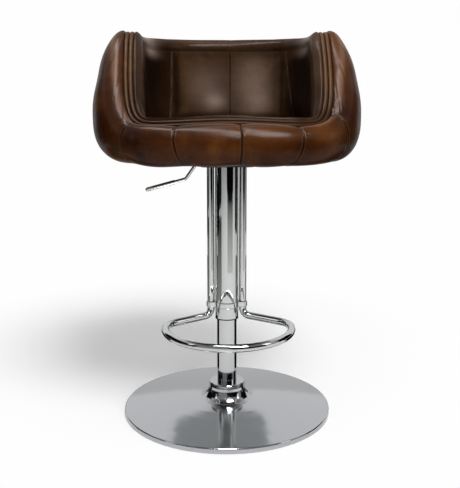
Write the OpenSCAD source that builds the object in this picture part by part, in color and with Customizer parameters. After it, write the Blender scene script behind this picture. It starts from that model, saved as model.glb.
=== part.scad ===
// Height adjustable bar stool with a leather tub seat, a chrome column and a round base.
// The origin is on the floor at the column axis, Z points up and the front of the seat faces -Y.
// The seat is drawn at its lowest setting.

/* [Base] */
// Diameter of the base disc
base_d = 450; // [400:5:500]
// Height of the rolled rim of the base cover above the floor
base_rim_h = 12; // [10:1:15]
// Radius that rounds the top edge of the rim
base_rim_round = 3; // [2:0.5:4]
// Height of the dome where the hub starts
dome_h = 30; // [27:1:34]
// Diameter of the hub where it leaves the dome
hub_foot_d = 122; // [114:1:140]
// Diameter of the flat top of the hub
hub_top_d = 78; // [70:1:84]
// Height of the flat top of the hub above the floor
hub_h = 66; // [60:1:80]
// Sheet thickness of the base cover
cover_wall = 2; // [1.5:0.25:2.5]
// Gap between the lower edge of the cover and the floor
cover_lift = 1; // [0.5:0.25:2]
// Thickness of the foot ring below the base
foot_ring_h = 3; // [2.5:0.5:5]
// Width of the foot ring
foot_ring_w = 15; // [10:1:20]
// Thickness of the ballast at its outer edge
ballast_edge_h = 5; // [3:0.5:6]
// Thickness of the ballast below the post flange
ballast_h = 17; // [14:0.5:18]

/* [Column] */
// Outer diameter of the post
post_d = 43; // [42:0.5:44]
// Wall of the post
post_wall = 2; // [1.5:0.25:2.5]
// Diameter of the flange at the foot of the post
flange_d = 92; // [86:1:96]
// Thickness of that flange
flange_t = 6; // [5:0.5:8]
// Length of the guide bush in the head of the post
guide_bush_len = 45; // [30:1:70]
// Thickness of the lip of the guide bush
guide_lip_t = 3; // [2:0.5:4]
// Outer diameter of the sliding sleeve
sleeve_d = 50; // [48:0.5:52]
// Wall of the sleeve
sleeve_wall = 1.25; // [1:0.05:1.5]
// Height of the lower end of the sleeve above the floor
sleeve_bottom_h = 209; // [180:1:240]
// Length of the bush inside the sleeve
sleeve_bush_len = 30; // [20:1:40]
// Thickness of the lip of the sleeve bush
sleeve_lip_t = 2.5; // [2:0.5:4]

/* [Gas lift] */
// Height that the seat rises from its lowest setting
lift_stroke = 200; // [120:5:220]
// Diameter of the gas cylinder
cylinder_d = 28; // [27:0.5:29]
// Wall of the gas cylinder
cylinder_wall = 2; // [1.5:0.25:2.5]
// Diameter of the piston rod
rod_d = 12; // [11:0.5:13]
// Diameter of the spigot at the foot of the rod
spigot_d = 9; // [8:0.5:10]
// Length of the seal block in the foot of the cylinder
seal_len = 22; // [16:1:30]
// Thickness of the piston
piston_t = 14; // [10:1:20]
// Spare travel left at the top of the stroke
stroke_spare = 15; // [10:1:25]
// Diameter of the cylinder at the top of its taper
taper_top_d = 26.2; // [25.8:0.1:26.8]
// Length of the taper socket
socket_len = 38; // [30:1:45]
// Outer diameter of the taper socket
socket_d = 38; // [34:1:40]
// Free height between the guide bush and the taper socket
head_clear = 12; // [8:1:20]
// Diameter of the valve pin
valve_d = 6; // [5:0.5:7]
// Length of the valve pin
valve_len = 34; // [28:1:36]
// Diameter of the balls of the thrust bearing
ball_d = 4; // [3:0.5:5]
// Diameter of the circle of the balls
ball_circle_d = 22; // [20:0.5:24]
// Thickness of the bearing washers
washer_t = 1.5; // [1:0.25:2]
// Height of the rubber buffer round the rod
buffer_h = 10; // [8:1:16]

/* [Footrest] */
// Diameter of the footrest tube
footrest_tube_d = 16; // [14:0.5:18]
// Wall of the footrest tube
footrest_wall = 1.5; // [1:0.25:2]
// Height of the footrest ring above the floor, at the tube centre
footrest_h = 216; // [196:1:240]
// Radius of the front of the footrest ring, at the tube centre
ring_r = 129; // [120:1:140]
// Distance of the centre of that radius in front of the column
ring_forward = 94; // [86:1:105]
// Angle at which the arms leave the column, towards the front
arm_angle = 36; // [28:1:40]
// Bend radius from the uprights to the arms
upright_bend_r = 16; // [13:0.5:24]
// Gap between the sleeve and the uprights of the footrest
upright_gap = 1; // [0.5:0.25:2]
// Height of the collar above the footrest ring
collar_rise = 19; // [17:1:60]
// Height of the collar
collar_h = 12; // [8:1:20]
// Wall of the collar round the tubes
collar_t = 2; // [1.5:0.25:3]
// Bevel on the edges of the collar
collar_edge = 1; // [0.5:0.25:1.25]

/* [Seat plate and lever] */
// Width of the seat plate
plate_w = 190; // [170:1:210]
// Depth of the seat plate, front to back
plate_d = 150; // [130:1:170]
// Sheet thickness of the seat plate
plate_t = 2.5; // [2:0.25:3]
// Depth of the pressed pan in the seat plate
pan_depth = 18; // [18:0.5:22]
// Width of the pan
pan_w = 108; // [104:1:112]
// Size of the pan, front to back
pan_d = 92; // [80:1:100]
// Corner radius of the plate and pan
plate_corner_r = 10; // [6:1:14]
// Diameter of the lever rod
lever_rod_d = 7; // [6:0.25:7.5]
// Distance of the lever pivot from the column axis
pivot_out = 40; // [36:1:42]
// Height of the lever rod above the floor of the pan
lever_rise = 7; // [6.5:0.25:8]
// Bend radius of the lever rod
lever_bend_r = 9; // [8:0.5:12]
// Angle that the lever turns to open the valve
lever_turn = 6; // [4:0.5:6]
// Distance of the upper bend of the lever from the axis
lever_knee_out = 59; // [58:0.5:62]
// Distance of the lower bend of the lever from the axis
lever_elbow_out = 86; // [84:1:94]
// Drop of the lower bend below the rod in the pan
lever_elbow_drop = 38; // [34:1:44]
// Distance of the end of the lever from the axis
lever_tip_out = 164; // [150:1:180]
// Drop of the end of the lever below the rod in the pan
lever_tip_drop = 59; // [54:1:66]
// Diameter of the grip on the lever
grip_d = 9; // [9:0.5:12]
// Length of the grip
grip_len = 58; // [40:1:64]
// Diameter of the lever pivot pin
pivot_d = 5; // [4:0.5:5.5]

/* [Seat] */
// Height of the underside of the seat board above the floor, at the lowest setting
seat_base_h = 558; // [520:2:600]
// Overall width of the seat
seat_w = 530; // [500:2:560]
// Overall depth of the seat, front to back
seat_d = 476; // [450:2:500]
// Thickness of the seat board
board_t = 15; // [12:1:18]
// Rise of the front lip above the underside of the board
lip_rise = 80; // [72:1:90]
// Drop of the front lip from its middle to its corners
lip_sag = 5.5; // [0:0.5:10]
// Rise of the arms above the underside of the board
arm_rise = 246; // [200:2:260]
// Drop of the rim from the arms to the back
back_dip = 6.5; // [0:0.5:12]
// Thickness of the rolled arms outside the piping
arm_roll = 72; // [65:1:85]
// Thickness of the rolled back outside the piping
back_roll = 62; // [55:1:70]
// Thickness of the front roll outside the piping
front_roll = 41; // [36:1:48]
// Distance in front of the axis where the rim starts to climb
sweep_start = 190; // [170:1:196]
// Distance in front of the axis where the rim reaches arm height
sweep_end = 10; // [0:1:60]
// Rise of the widest line of the seat at the front
front_bulge_rise = 40; // [34:1:46]
// Rise of the widest line of the seat at the sides and back
side_bulge_rise = 82; // [70:1:100]
// Thickness of the bent frame wall in the tub
frame_t = 8; // [6:0.5:10]
// Distance from the rim down to the top of the frame wall
frame_drop = 28; // [26:1:40]
// Thickness of the inner padding
lining_t = 27; // [24:1:34]
// Depth of the header seam below the rim
header_drop = 20; // [17:1:24]
// Depth of a sewn seam in the padding
seam_depth = 3; // [1:0.5:4]
// Height of the panels between two seams
panel_puff = 1.5; // [0:0.5:3]
// Rise of the crown of the seat cushion above the underside of the board
cushion_rise = 73; // [66:1:76]
// Rise of the edge of the seat cushion above the underside of the board
cushion_edge_rise = 56; // [50:1:60]
// Distance that the cushion edge is drawn in at the top and bottom
cushion_draw = 9; // [6:1:14]
// Diameter of the piping cords
cord_d = 8.6; // [7:0.2:9]
// Gap between the two cords
cord_gap = 0.6; // [0.4:0.1:1]

/* [Hidden] */

// Clearances and overruns
run_gap = 0.05;
seat_gap = 0.05;
soft_gap = 0.3;
loose_gap = 1;
cut = 1;
bend_slim = 0.2;
bend_lap = 1.2;

// Heights in the base
flange_z = foot_ring_h + ballast_h;
bearing_z = flange_z + flange_t;
cage_z = bearing_z + washer_t;
upper_washer_z = cage_z + ball_d;
buffer_z = upper_washer_z + washer_t;
cylinder_z = buffer_z + buffer_h + soft_gap;

// Heights under the seat
pan_z = seat_base_h - pan_depth;
pan_floor_z = pan_z + plate_t;
plate_z = seat_base_h - plate_t;
socket_z = pan_z - socket_len;
post_top_z = socket_z - head_clear - guide_lip_t;
lever_z = pan_floor_z + lever_rise;
board_top_z = seat_base_h + board_t;

// Base cover
cover_hole_r = post_d / 2 + 4 * run_gap;
hub_round = 3;
dome_shares = [0.2, 0.4, 0.6, 0.8];
dome_bow_share = 0.25;

// Ballast and flange screws
ballast_hole_r = 16;
ballast_gap = 4;
ballast_r = base_d / 2 - cover_wall - ballast_gap;
ballast_slope_r = 66;
screw_circle_r = 34;
screw_d = 8;
screw_head_d = 13;
screw_head_t = 4;
screw_count = 4;

// Bearing
bearing_washer_r = 15.5;
cage_wall = 2.5;
cage_t = 2;
ball_count = 10;
ball_gap = 0.02;

// Rod
clip_r = 9;
clip_t = 1.6;
clip_slot_w = 5;
clip_groove = 1;
spigot_below = 6;
piston_z = cylinder_z + lift_stroke + seal_len + stroke_spare;
buffer_r = 12;

// Cylinder head
head_len = 46;
valve_bore_spare = 9;
cylinder_proud = 1;
cylinder_top_z = pan_z + cylinder_proud;
valve_gap = 0.3;
valve_top_z = lever_z - lever_rod_d / 2 - valve_gap;

// Footrest
upright_x = sleeve_d / 2 + upright_gap + footrest_tube_d / 2;
corner_r = ((upright_x - ring_r) * sin(arm_angle) + ring_forward * cos(arm_angle)) / (1 - sin(arm_angle));
corner_centre = [ring_r - corner_r, -ring_forward];
corner_end = corner_centre + corner_r * [sin(arm_angle), cos(arm_angle)];
arm_dir = [cos(arm_angle), -sin(arm_angle)];
arm_start = [upright_x, 0] + upright_bend_r * arm_dir;
collar_z = footrest_h + collar_rise;

// Seat plate, lever and fasteners
plate_hole_r = 15;
bolt_x = 80;
bolt_y = 60;
bolt_d = 6;
bolt_head_d = 12;
bolt_head_t = 3.5;
tee_barrel_d = 8.5;
tee_flange_d = 18;
tee_flange_t = 1.2;
tee_len = 12;
ear_t = 2.5;
ear_w = 12;
ear_over = 5;
hub_barrel_d = 11;
hub_barrel_len = 11;
pin_head_d = 8;
pin_head_t = 1.5;
slot_w = 10;
slot_h = 11;
rod_end_x = 3;
grip_end_t = 2;

// Seat outline
rim_half_w = seat_w / 2 - arm_roll;
rim_front = seat_d / 2 - front_roll;
rim_back = seat_d / 2 - back_roll;
rim_front_power = 5;
lip_sag_share = 0.83;
rim_back_power = 2.4;
bulge_front_power = 2.9;
foot_front_power = 3;
bulge_back_power = 2.4;
lower_power = 2.4;
upper_power = 1.8;
lip_z = seat_base_h + lip_rise;
arm_z = seat_base_h + arm_rise;
front_lean = [0, -0.62, 0.78];
bulge_blend = 150;
back_blend = 120;
dust_t = 1;
dust_inset = 12;

// Piping and the edges beside it
cord_r = cord_d / 2;
cord_pitch = cord_d + cord_gap;
shelf_depth = cord_r + soft_gap;
shelf_half_w = cord_pitch / 2 + cord_r + soft_gap;
groove_up = 0.5;
crest_out = 12.5;
crest_up = 6;
inner_crest_out = 13.5;
inner_crest_up = 4;
header_seam_in = 3;

// Seam directions seen from above, and the steps between them
seam_phi = [32, 85, 131, 226, 246.5, 275.3, 301, 320];
seam_steps = [8, 7, 12, 5, 6, 6, 5, 10];
seam_inside = [1, 1, 1, 0, 0, 0, 0, 0];
cord_sides = 8;
lower_steps = 5;
upper_steps = 6;
wall_shares = [0.94, 0.72, 0.45, 0.2];
wall_puff_shares = [0.5, 1, 1, 0.6];
header_swell_share = 0.6;
crown_shares = [0.35, 0.65, 0.86];
crown_power = 2.6;
edge_height_shares = [0, 0.2, 0.5, 0.8, 1];
edge_draw_shares = [1, 0.25, 0, 0.25, 1];

// Colours
chrome = [0.75, 0.77, 0.78];
steel = [0.5, 0.52, 0.54];
leather_brown = [0.27, 0.15, 0.09];
leather_inner = [0.33, 0.23, 0.19];
piping_brown = [0.38, 0.25, 0.18];
black_plastic = [0.07, 0.07, 0.07];

$fn = 96;

// Helpers
function ease(s) = let (c = min(1, max(0, s))) c * c * (3 - 2 * c);
function unit(v) = v / norm(v);
function mix(a, b, s) = a + (b - a) * s;
function flat(p) = [p[0], p[1]];
function oval(phi, a, b, power) =
    pow(pow(abs(cos(phi)) / a, power) + pow(abs(sin(phi)) / b, power), -1 / power) * [cos(phi), sin(phi)];

// A plate outline with rounded corners
module rounded_square(w, d, r) {
    square([w - 2 * r, d], center = true);
    square([w, d - 2 * r], center = true);
    for (x = [-1, 1], y = [-1, 1]) translate([x * (w / 2 - r), y * (d / 2 - r)]) circle(r);
}

// A bar bent round an arc that lies flat, from angle a0 to a1, hollow where bore is set.
// It is a hair slimmer than the straight bars, and each end reaches a little into its neighbour.
module arc_bar(centre, bend_r, a0, a1, d, bore = 0) {
    lap = 180 / PI * bend_lap / bend_r;
    translate([centre[0], centre[1], 0]) rotate([0, 0, a0 - lap])
        rotate_extrude(angle = a1 - a0 + 2 * lap) translate([bend_r, 0])
        tube_section(d - bend_slim, bore > 0 ? bore + bend_slim : 0);
}

// A round bar between two points, hollow where bore is set
module bar(p, q, d, bore = 0) {
    v = q - p;
    translate(p) rotate([0, acos(v[2] / norm(v)), atan2(v[1], v[0])])
        linear_extrude(norm(v)) tube_section(d, bore);
}

module tube_section(d, bore) {
    difference() {
        circle(d = d);
        if (bore > 0) circle(d = bore);
    }
}

// A washer or a short tube
module ring(outer_r, inner_r, h) {
    difference() {
        cylinder(r = outer_r, h = h);
        translate([0, 0, -cut]) cylinder(r = inner_r, h = h + 2 * cut);
    }
}

// A closed ring through matching sections. Flipped, its faces split along the other diagonal,
// so that they lie flat on the faces of a neighbour.
module ring_solid(rings, flipped = false) {
    n = len(rings);
    m = len(rings[0]);
    points = [for (r = rings) for (p = r) p];
    faces = [for (i = [0:n - 1]) for (j = [0:m - 1]) let (
        a = i * m + j, b = i * m + (j + 1) % m,
        c = ((i + 1) % n) * m + (j + 1) % m, d = ((i + 1) % n) * m + j)
        each flipped ? [[a, d, b], [b, d, c]] : [[a, c, b], [a, d, c]]];
    polyhedron(points = points, faces = faces, convexity = 8);
}

// A closed solid through stacked rings, from a top point to a bottom point
module stacked_solid(top, rings, bottom) {
    k = len(rings);
    m = len(rings[0]);
    last = 1 + (k - 1) * m;
    points = concat([top], [for (r = rings) for (p = r) p], [bottom]);
    end = len(points) - 1;
    faces = concat(
        [for (j = [0:m - 1]) [0, 1 + (j + 1) % m, 1 + j]],
        [for (i = [0:k - 2]) for (j = [0:m - 1]) let (
            a = 1 + i * m + j, b = 1 + i * m + (j + 1) % m,
            c = 1 + (i + 1) * m + (j + 1) % m, d = 1 + (i + 1) * m + j)
            each [[a, b, c], [a, c, d]]],
        [for (j = [0:m - 1]) [end, last + j, last + (j + 1) % m]]);
    polyhedron(points = points, faces = faces, convexity = 4);
}

// The rim: the line between the two piping cords, all round the tub
function rim_plan(phi) = sin(phi) < 0
    ? oval(phi, rim_half_w, rim_front, rim_front_power)
    : oval(phi, rim_half_w, rim_back, rim_back_power);
// The outline of the seat board, rounder at the front corners than the rim
function foot_plan(phi) = sin(phi) < 0
    ? oval(phi, rim_half_w, rim_front, foot_front_power)
    : oval(phi, rim_half_w, rim_back, rim_back_power);
// Height of the rim above a point of its plan: it sags to the lip's corners and climbs to the arms
function rim_height(p) = mix(lip_z - lip_sag * ease(abs(p[0]) / (lip_sag_share * rim_half_w)), arm_z,
    ease((p[1] + sweep_start) / (sweep_start - sweep_end)))
    - back_dip * ease((p[1] + sweep_end) / back_blend);
function rim_point(phi) = let (p = rim_plan(phi)) [p[0], p[1], rim_height(p)];
function rim_along(phi) = unit(rim_point(phi + 1) - rim_point(phi - 1));
function rim_lean(phi) = mix(front_lean, [0, 0, 1], ease(rim_plan(phi)[1] / back_blend));
function rim_up(phi) = let (t = rim_along(phi), v = rim_lean(phi)) unit(v - (v * t) * t);
function rim_in(phi) = cross(rim_up(phi), rim_along(phi));
function rim_out(phi) = let (t = rim_plan(phi + 1) - rim_plan(phi - 1)) unit([t[1], -t[0]]);

// A point beside the rim, measured inwards and upwards square to it
function beside_rim(phi, inwards, up) = rim_point(phi) + inwards * rim_in(phi) + up * rim_up(phi);
// A point at height z, a level distance outside the wall that joins the board outline to the rim
function off_rim(phi, out, z) = let (
    top_z = rim_height(rim_plan(phi)) - frame_drop, s = (z - board_top_z) / (top_z - board_top_z),
    p = mix(foot_plan(phi), rim_plan(phi), min(1, max(0, s))) + out * rim_out(phi)) [p[0], p[1], z];
// The widest line of the seat
function bulge_point(phi) =
    let (p = sin(phi) < 0 ? oval(phi, seat_w / 2, seat_d / 2, bulge_front_power)
        : oval(phi, seat_w / 2, seat_d / 2, bulge_back_power))
    [p[0], p[1], seat_base_h
        + mix(front_bulge_rise, side_bulge_rise, ease((p[1] + seat_d / 2) / bulge_blend))];

// Directions of all sections, close together beside each seam
seam_count = len(seam_phi);
ring_phi = [for (i = [0:seam_count - 1]) let (
    a = seam_phi[i], b = i < seam_count - 1 ? seam_phi[i + 1] : seam_phi[0] + 360)
    for (k = [0:seam_steps[i] - 1]) mix(a, b, 0.5 - 0.5 * cos(180 * k / seam_steps[i]))];
// How far the padding stands out at each section: a seam dips and a panel swells
outer_swell = [for (i = [0:seam_count - 1]) for (k = [0:seam_steps[i] - 1])
    k == 0 ? -seam_depth : panel_puff * sin(180 * k / seam_steps[i])];
inner_swell = [for (i = [0:seam_count - 1]) for (k = [0:seam_steps[i] - 1])
    k == 0 ? -seam_depth * seam_inside[i] : panel_puff * sin(180 * k / seam_steps[i])];

// One section of the outer roll, from the edge of the board round the outside to the rim
function roll_section(phi, swell) =
    let (w = bulge_point(phi), e = off_rim(phi, frame_t / 2 + soft_gap, seat_base_h),
        c = beside_rim(phi, -crest_out, crest_up), top_z = rim_height(rim_plan(phi)) - frame_drop,
        low_dir = unit(flat(w) - flat(e)), high_dir = unit(flat(w) - flat(c)))
    concat(
        [for (i = [0:lower_steps]) let (
            a = 90 - 90 * i / lower_steps, p = mix(flat(e), flat(w), pow(cos(a), 2 / lower_power))
                + swell * sqrt(cos(a)) * cos(a) * low_dir)
            [p[0], p[1], w[2] - (w[2] - e[2]) * pow(sin(a), 2 / lower_power)
                - swell * sqrt(cos(a)) * sin(a)]],
        [for (i = [1:upper_steps - 1]) let (
            a = 90 * i / upper_steps, p = mix(flat(c), flat(w), pow(cos(a), 2 / upper_power))
                + swell * cos(a) * high_dir)
            [p[0], p[1], w[2] + (c[2] - w[2]) * pow(sin(a), 2 / upper_power) + swell * sin(a)]],
        [c, beside_rim(phi, -shelf_half_w - groove_up, -groove_up),
            beside_rim(phi, -shelf_half_w, -shelf_depth), beside_rim(phi, -soft_gap / 2, -shelf_depth),
            off_rim(phi, soft_gap / 2, top_z + soft_gap),
            off_rim(phi, frame_t / 2 + soft_gap, top_z + soft_gap)]);

// One section of the inner lining, from the rim down the inside to the board
function lining_section(phi, swell) =
    let (rim_z = rim_height(rim_plan(phi)), top_z = rim_z - frame_drop,
        low_z = board_top_z + soft_gap, header_z = rim_z - header_drop)
    concat(
        [beside_rim(phi, soft_gap / 2, -shelf_depth), beside_rim(phi, shelf_half_w, -shelf_depth),
            beside_rim(phi, shelf_half_w + groove_up, -groove_up),
            beside_rim(phi, inner_crest_out, inner_crest_up),
            off_rim(phi, -lining_t + inner_crest_up, rim_z - inner_crest_up),
            off_rim(phi, -lining_t - swell / 2, mix(rim_z, header_z, header_swell_share)),
            off_rim(phi, -lining_t + header_seam_in, header_z)],
        [for (i = [0:len(wall_shares) - 1])
            off_rim(phi, -lining_t - swell * wall_puff_shares[i], mix(low_z, header_z, wall_shares[i]))],
        [off_rim(phi, -lining_t, low_z), off_rim(phi, -frame_t / 2 - soft_gap, low_z),
            off_rim(phi, -frame_t / 2 - soft_gap, top_z + soft_gap),
            off_rim(phi, -soft_gap / 2, top_z + soft_gap)]);

// Height of the top of the dome at a share of the way from the rim to the hub
function dome_z(s) = mix(base_rim_h, dome_h, s * (1 + dome_bow_share * (1 - s)));

// Base
module base_cover() {
    foot_r = hub_foot_d / 2;
    top_r = hub_top_d / 2;
    edge_r = base_d / 2;
    neck_z = hub_h - hub_round;
    outer = concat(
        [[edge_r, cover_lift]],
        [for (a = [0:15:90]) [edge_r - base_rim_round + base_rim_round * cos(a),
            base_rim_h - base_rim_round + base_rim_round * sin(a)]],
        [for (s = dome_shares) [mix(edge_r - base_rim_round, foot_r, s), dome_z(s)]],
        [for (a = [0:10:90]) [mix(foot_r, top_r, sin(a)), mix(dome_h, neck_z, 1 - cos(a))]],
        [for (a = [30:30:90]) [top_r - hub_round + hub_round * cos(a), neck_z + hub_round * sin(a)]]);
    inner = concat(
        [[edge_r - cover_wall, cover_lift], [edge_r - cover_wall, base_rim_h - base_rim_round]],
        [for (s = concat([0], dome_shares, [1]))
            [mix(edge_r - base_rim_round, foot_r, s), dome_z(s) - cover_wall]],
        [for (a = [10:10:90]) [mix(foot_r, top_r, sin(a)) - cover_wall * sin(a),
            mix(dome_h, neck_z, 1 - cos(a)) - cover_wall * cos(a)]],
        [[top_r - hub_round, hub_h - cover_wall]]);
    color(chrome) rotate_extrude() polygon(concat(outer,
        [[cover_hole_r, hub_h], [cover_hole_r, hub_h - cover_wall]],
        [for (i = [len(inner) - 1:-1:0]) inner[i]]));
}

// Places what follows on the circle of the flange screws
module at_screws() {
    for (i = [0:screw_count - 1])
        rotate([0, 0, 360 * (i + 0.5) / screw_count]) translate([screw_circle_r, 0, 0])
        children();
}

module ballast() {
    color(steel) difference() {
        rotate_extrude() polygon([[ballast_hole_r, foot_ring_h], [ballast_r, foot_ring_h],
            [ballast_r, foot_ring_h + ballast_edge_h], [ballast_slope_r, flange_z],
            [ballast_hole_r, flange_z]]);
        at_screws() translate([0, 0, foot_ring_h - cut])
            cylinder(d = screw_d + 4 * run_gap, h = ballast_h + 2 * cut);
    }
}

module foot_ring() {
    color(black_plastic) ring(ballast_r, ballast_r - foot_ring_w, foot_ring_h);
}

module post() {
    color(chrome) difference() {
        union() {
            translate([0, 0, flange_z]) cylinder(d = flange_d, h = flange_t);
            translate([0, 0, bearing_z]) cylinder(d = post_d, h = post_top_z - bearing_z);
        }
        translate([0, 0, bearing_z]) cylinder(d = post_d - 2 * post_wall, h = post_top_z - bearing_z + cut);
        translate([0, 0, flange_z - cut]) cylinder(d = spigot_d + 2 * run_gap, h = flange_t + 2 * cut);
        at_screws() translate([0, 0, flange_z - cut])
            cylinder(d = screw_d + 4 * run_gap, h = flange_t + 2 * cut);
    }
}

module flange_screws() {
    color(steel) at_screws() {
        translate([0, 0, foot_ring_h]) cylinder(d = screw_d, h = ballast_h + flange_t);
        translate([0, 0, bearing_z]) cylinder(d = screw_head_d, h = screw_head_t);
    }
}

module lower_bearing_washer() {
    color(steel) translate([0, 0, bearing_z]) ring(bearing_washer_r, spigot_d / 2 + 4 * run_gap, washer_t);
}

module ball_cage() {
    color("goldenrod") difference() {
        translate([0, 0, cage_z + (ball_d - cage_t) / 2])
            ring(ball_circle_d / 2 + cage_wall, ball_circle_d / 2 - cage_wall, cage_t);
        for (i = [0:ball_count - 1]) rotate([0, 0, 360 * i / ball_count])
            translate([ball_circle_d / 2, 0, cage_z]) cylinder(d = ball_d + 2 * run_gap, h = ball_d);
    }
}

module bearing_balls() {
    color("silver") for (i = [0:ball_count - 1]) rotate([0, 0, 360 * i / ball_count])
        translate([ball_circle_d / 2, 0, cage_z + ball_d / 2]) sphere(d = ball_d - 2 * ball_gap);
}

module guide_bush() {
    bore_r = cylinder_d / 2 + run_gap;
    color(black_plastic) {
        translate([0, 0, post_top_z - guide_bush_len])
            ring(post_d / 2 - post_wall - seat_gap, bore_r, guide_bush_len);
        translate([0, 0, post_top_z]) ring(post_d / 2, bore_r, guide_lip_t);
    }
}

// Gas lift
module piston_rod() {
    color("silver") {
        translate([0, 0, buffer_z]) cylinder(d = rod_d, h = piston_z + piston_t - buffer_z);
        difference() {
            translate([0, 0, flange_z - spigot_below])
                cylinder(d = spigot_d, h = buffer_z - flange_z + spigot_below);
            translate([0, 0, flange_z - clip_t - 2 * seat_gap])
                ring(spigot_d, spigot_d / 2 - clip_groove, clip_t + 2 * seat_gap);
        }
    }
}

module rod_clip() {
    color(steel) translate([0, 0, flange_z - clip_t - seat_gap]) difference() {
        ring(clip_r, spigot_d / 2 - clip_groove + seat_gap, clip_t);
        translate([0, -clip_slot_w / 2, -cut]) cube([clip_r + cut, clip_slot_w, clip_t + 2 * cut]);
    }
}

module upper_bearing_washer() {
    color(steel) translate([0, 0, upper_washer_z]) ring(bearing_washer_r, spigot_d / 2 + seat_gap, washer_t);
}

module rubber_buffer() {
    color(black_plastic) translate([0, 0, buffer_z]) ring(buffer_r, rod_d / 2 + seat_gap, buffer_h);
}

module piston() {
    color(steel) translate([0, 0, piston_z])
        ring(cylinder_d / 2 - cylinder_wall - run_gap, rod_d / 2 + seat_gap, piston_t);
}

module gas_cylinder() {
    color("dimgray") difference() {
        union() {
            translate([0, 0, cylinder_z]) cylinder(d = cylinder_d, h = socket_z - cylinder_z);
            translate([0, 0, socket_z])
                cylinder(d1 = cylinder_d, d2 = taper_top_d, h = cylinder_top_z - socket_z);
        }
        translate([0, 0, cylinder_z - cut])
            cylinder(d = cylinder_d - 2 * cylinder_wall, h = cylinder_top_z - head_len - cylinder_z + cut);
        translate([0, 0, valve_top_z - valve_len - valve_bore_spare])
            cylinder(d = valve_d + 2 * run_gap, h = valve_len + valve_bore_spare + cut);
    }
}

module cylinder_seal() {
    color(black_plastic) translate([0, 0, cylinder_z])
        ring(cylinder_d / 2 - cylinder_wall - seat_gap, rod_d / 2 + run_gap, seal_len);
}

module valve_pin() {
    color("silver") {
        translate([0, 0, valve_top_z - valve_len]) cylinder(d = valve_d, h = valve_len - valve_d / 2);
        translate([0, 0, valve_top_z - valve_d / 2]) sphere(d = valve_d);
    }
}

// Sleeve and footrest
module sleeve() {
    low_z = sleeve_bottom_h + sleeve_lip_t;
    color(chrome) translate([0, 0, low_z]) ring(sleeve_d / 2, sleeve_d / 2 - sleeve_wall, pan_z - low_z);
}

module sleeve_bush() {
    bore_r = post_d / 2 + run_gap;
    color(black_plastic) {
        translate([0, 0, sleeve_bottom_h]) ring(sleeve_d / 2, bore_r, sleeve_lip_t);
        translate([0, 0, sleeve_bottom_h + sleeve_lip_t])
            ring(sleeve_d / 2 - sleeve_wall - seat_gap, bore_r, sleeve_bush_len);
    }
}

module footrest() {
    d = footrest_tube_d;
    bore = d - 2 * footrest_wall;
    bend_z = footrest_h + upright_bend_r;
    color(chrome) {
        for (side = [0, 1]) mirror([side, 0, 0]) {
            bar([upright_x, 0, bend_z], [upright_x, 0, pan_z], d, bore);
            translate([upright_x, 0, bend_z]) rotate([0, 0, -arm_angle]) translate([upright_bend_r, 0, 0])
                rotate([90, 0, 0]) arc_bar([0, 0], upright_bend_r, 180, 270, d, bore);
            bar([arm_start[0], arm_start[1], footrest_h], [corner_end[0], corner_end[1], footrest_h],
                d, bore);
            translate([0, 0, footrest_h]) arc_bar(corner_centre, corner_r, 0, 90 - arm_angle, d, bore);
        }
        translate([0, -ring_forward, footrest_h]) rotate([0, 0, 180])
            rotate_extrude(angle = 180) translate([ring_r, 0]) tube_section(d, bore);
    }
}

module footrest_collar() {
    side_r = footrest_tube_d / 2 + collar_t;
    color(chrome) translate([0, 0, collar_z]) difference() {
        union() {
            bevelled_disc(sleeve_d / 2 + collar_t);
            for (x = [-1, 1]) translate([x * upright_x, 0, 0]) bevelled_disc(side_r);
            rotate([90, 0, 90]) linear_extrude(2 * upright_x, center = true)
                polygon(concat(bevel_points(side_r), mirrored(bevel_points(side_r))));
        }
        translate([0, 0, -cut]) cylinder(d = sleeve_d + 2 * seat_gap, h = collar_h + 2 * cut);
        for (x = [-1, 1]) translate([x * upright_x, 0, -cut])
            cylinder(d = footrest_tube_d + 2 * seat_gap, h = collar_h + 2 * cut);
    }
}

// A disc as high as the collar, with bevelled edges
module bevelled_disc(r) {
    rotate_extrude() polygon(concat([[0, 0]], bevel_points(r), [[0, collar_h]]));
}

// The bevelled outer side of the collar, from its foot to its top
function bevel_points(r) =
    [[r - collar_edge, 0], [r, collar_edge], [r, collar_h - collar_edge], [r - collar_edge, collar_h]];

// The same points on the other side, from the top to the foot
function mirrored(points) = [for (i = [len(points) - 1:-1:0]) [-points[i][0], points[i][1]]];

// Places what follows at the four bolts of the seat plate
module at_bolts() {
    for (x = [-1, 1], y = [-1, 1]) translate([x * bolt_x, y * bolt_y, 0]) children();
}

// Seat plate and lever
module taper_socket() {
    color(steel) translate([0, 0, socket_z]) difference() {
        cylinder(d = socket_d, h = socket_len);
        cylinder(d1 = cylinder_d + 2 * seat_gap, d2 = taper_top_d + 2 * seat_gap,
            h = cylinder_top_z - socket_z);
        translate([0, 0, -cut]) cylinder(d = cylinder_d + 2 * seat_gap, h = cut + seat_gap);
    }
}

module seat_plate() {
    color(steel) difference() {
        union() {
            translate([0, 0, plate_z]) linear_extrude(plate_t)
                rounded_square(plate_w, plate_d, plate_corner_r);
            translate([0, 0, pan_z]) linear_extrude(plate_z - pan_z)
                rounded_square(pan_w, pan_d, plate_corner_r);
        }
        translate([0, 0, pan_floor_z]) linear_extrude(pan_depth)
            rounded_square(pan_w - 2 * plate_t, pan_d - 2 * plate_t, plate_corner_r - plate_t);
        translate([0, 0, pan_z - cut]) cylinder(r = plate_hole_r, h = plate_t + 2 * cut);
        translate([-pan_w / 2 - cut, -slot_w / 2, lever_z - lever_rod_d / 2 - loose_gap])
            cube([plate_t + 2 * cut, slot_w, slot_h]);
        at_bolts() translate([0, 0, plate_z - cut]) cylinder(d = bolt_d + 4 * run_gap, h = plate_t + 2 * cut);
    }
}

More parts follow.
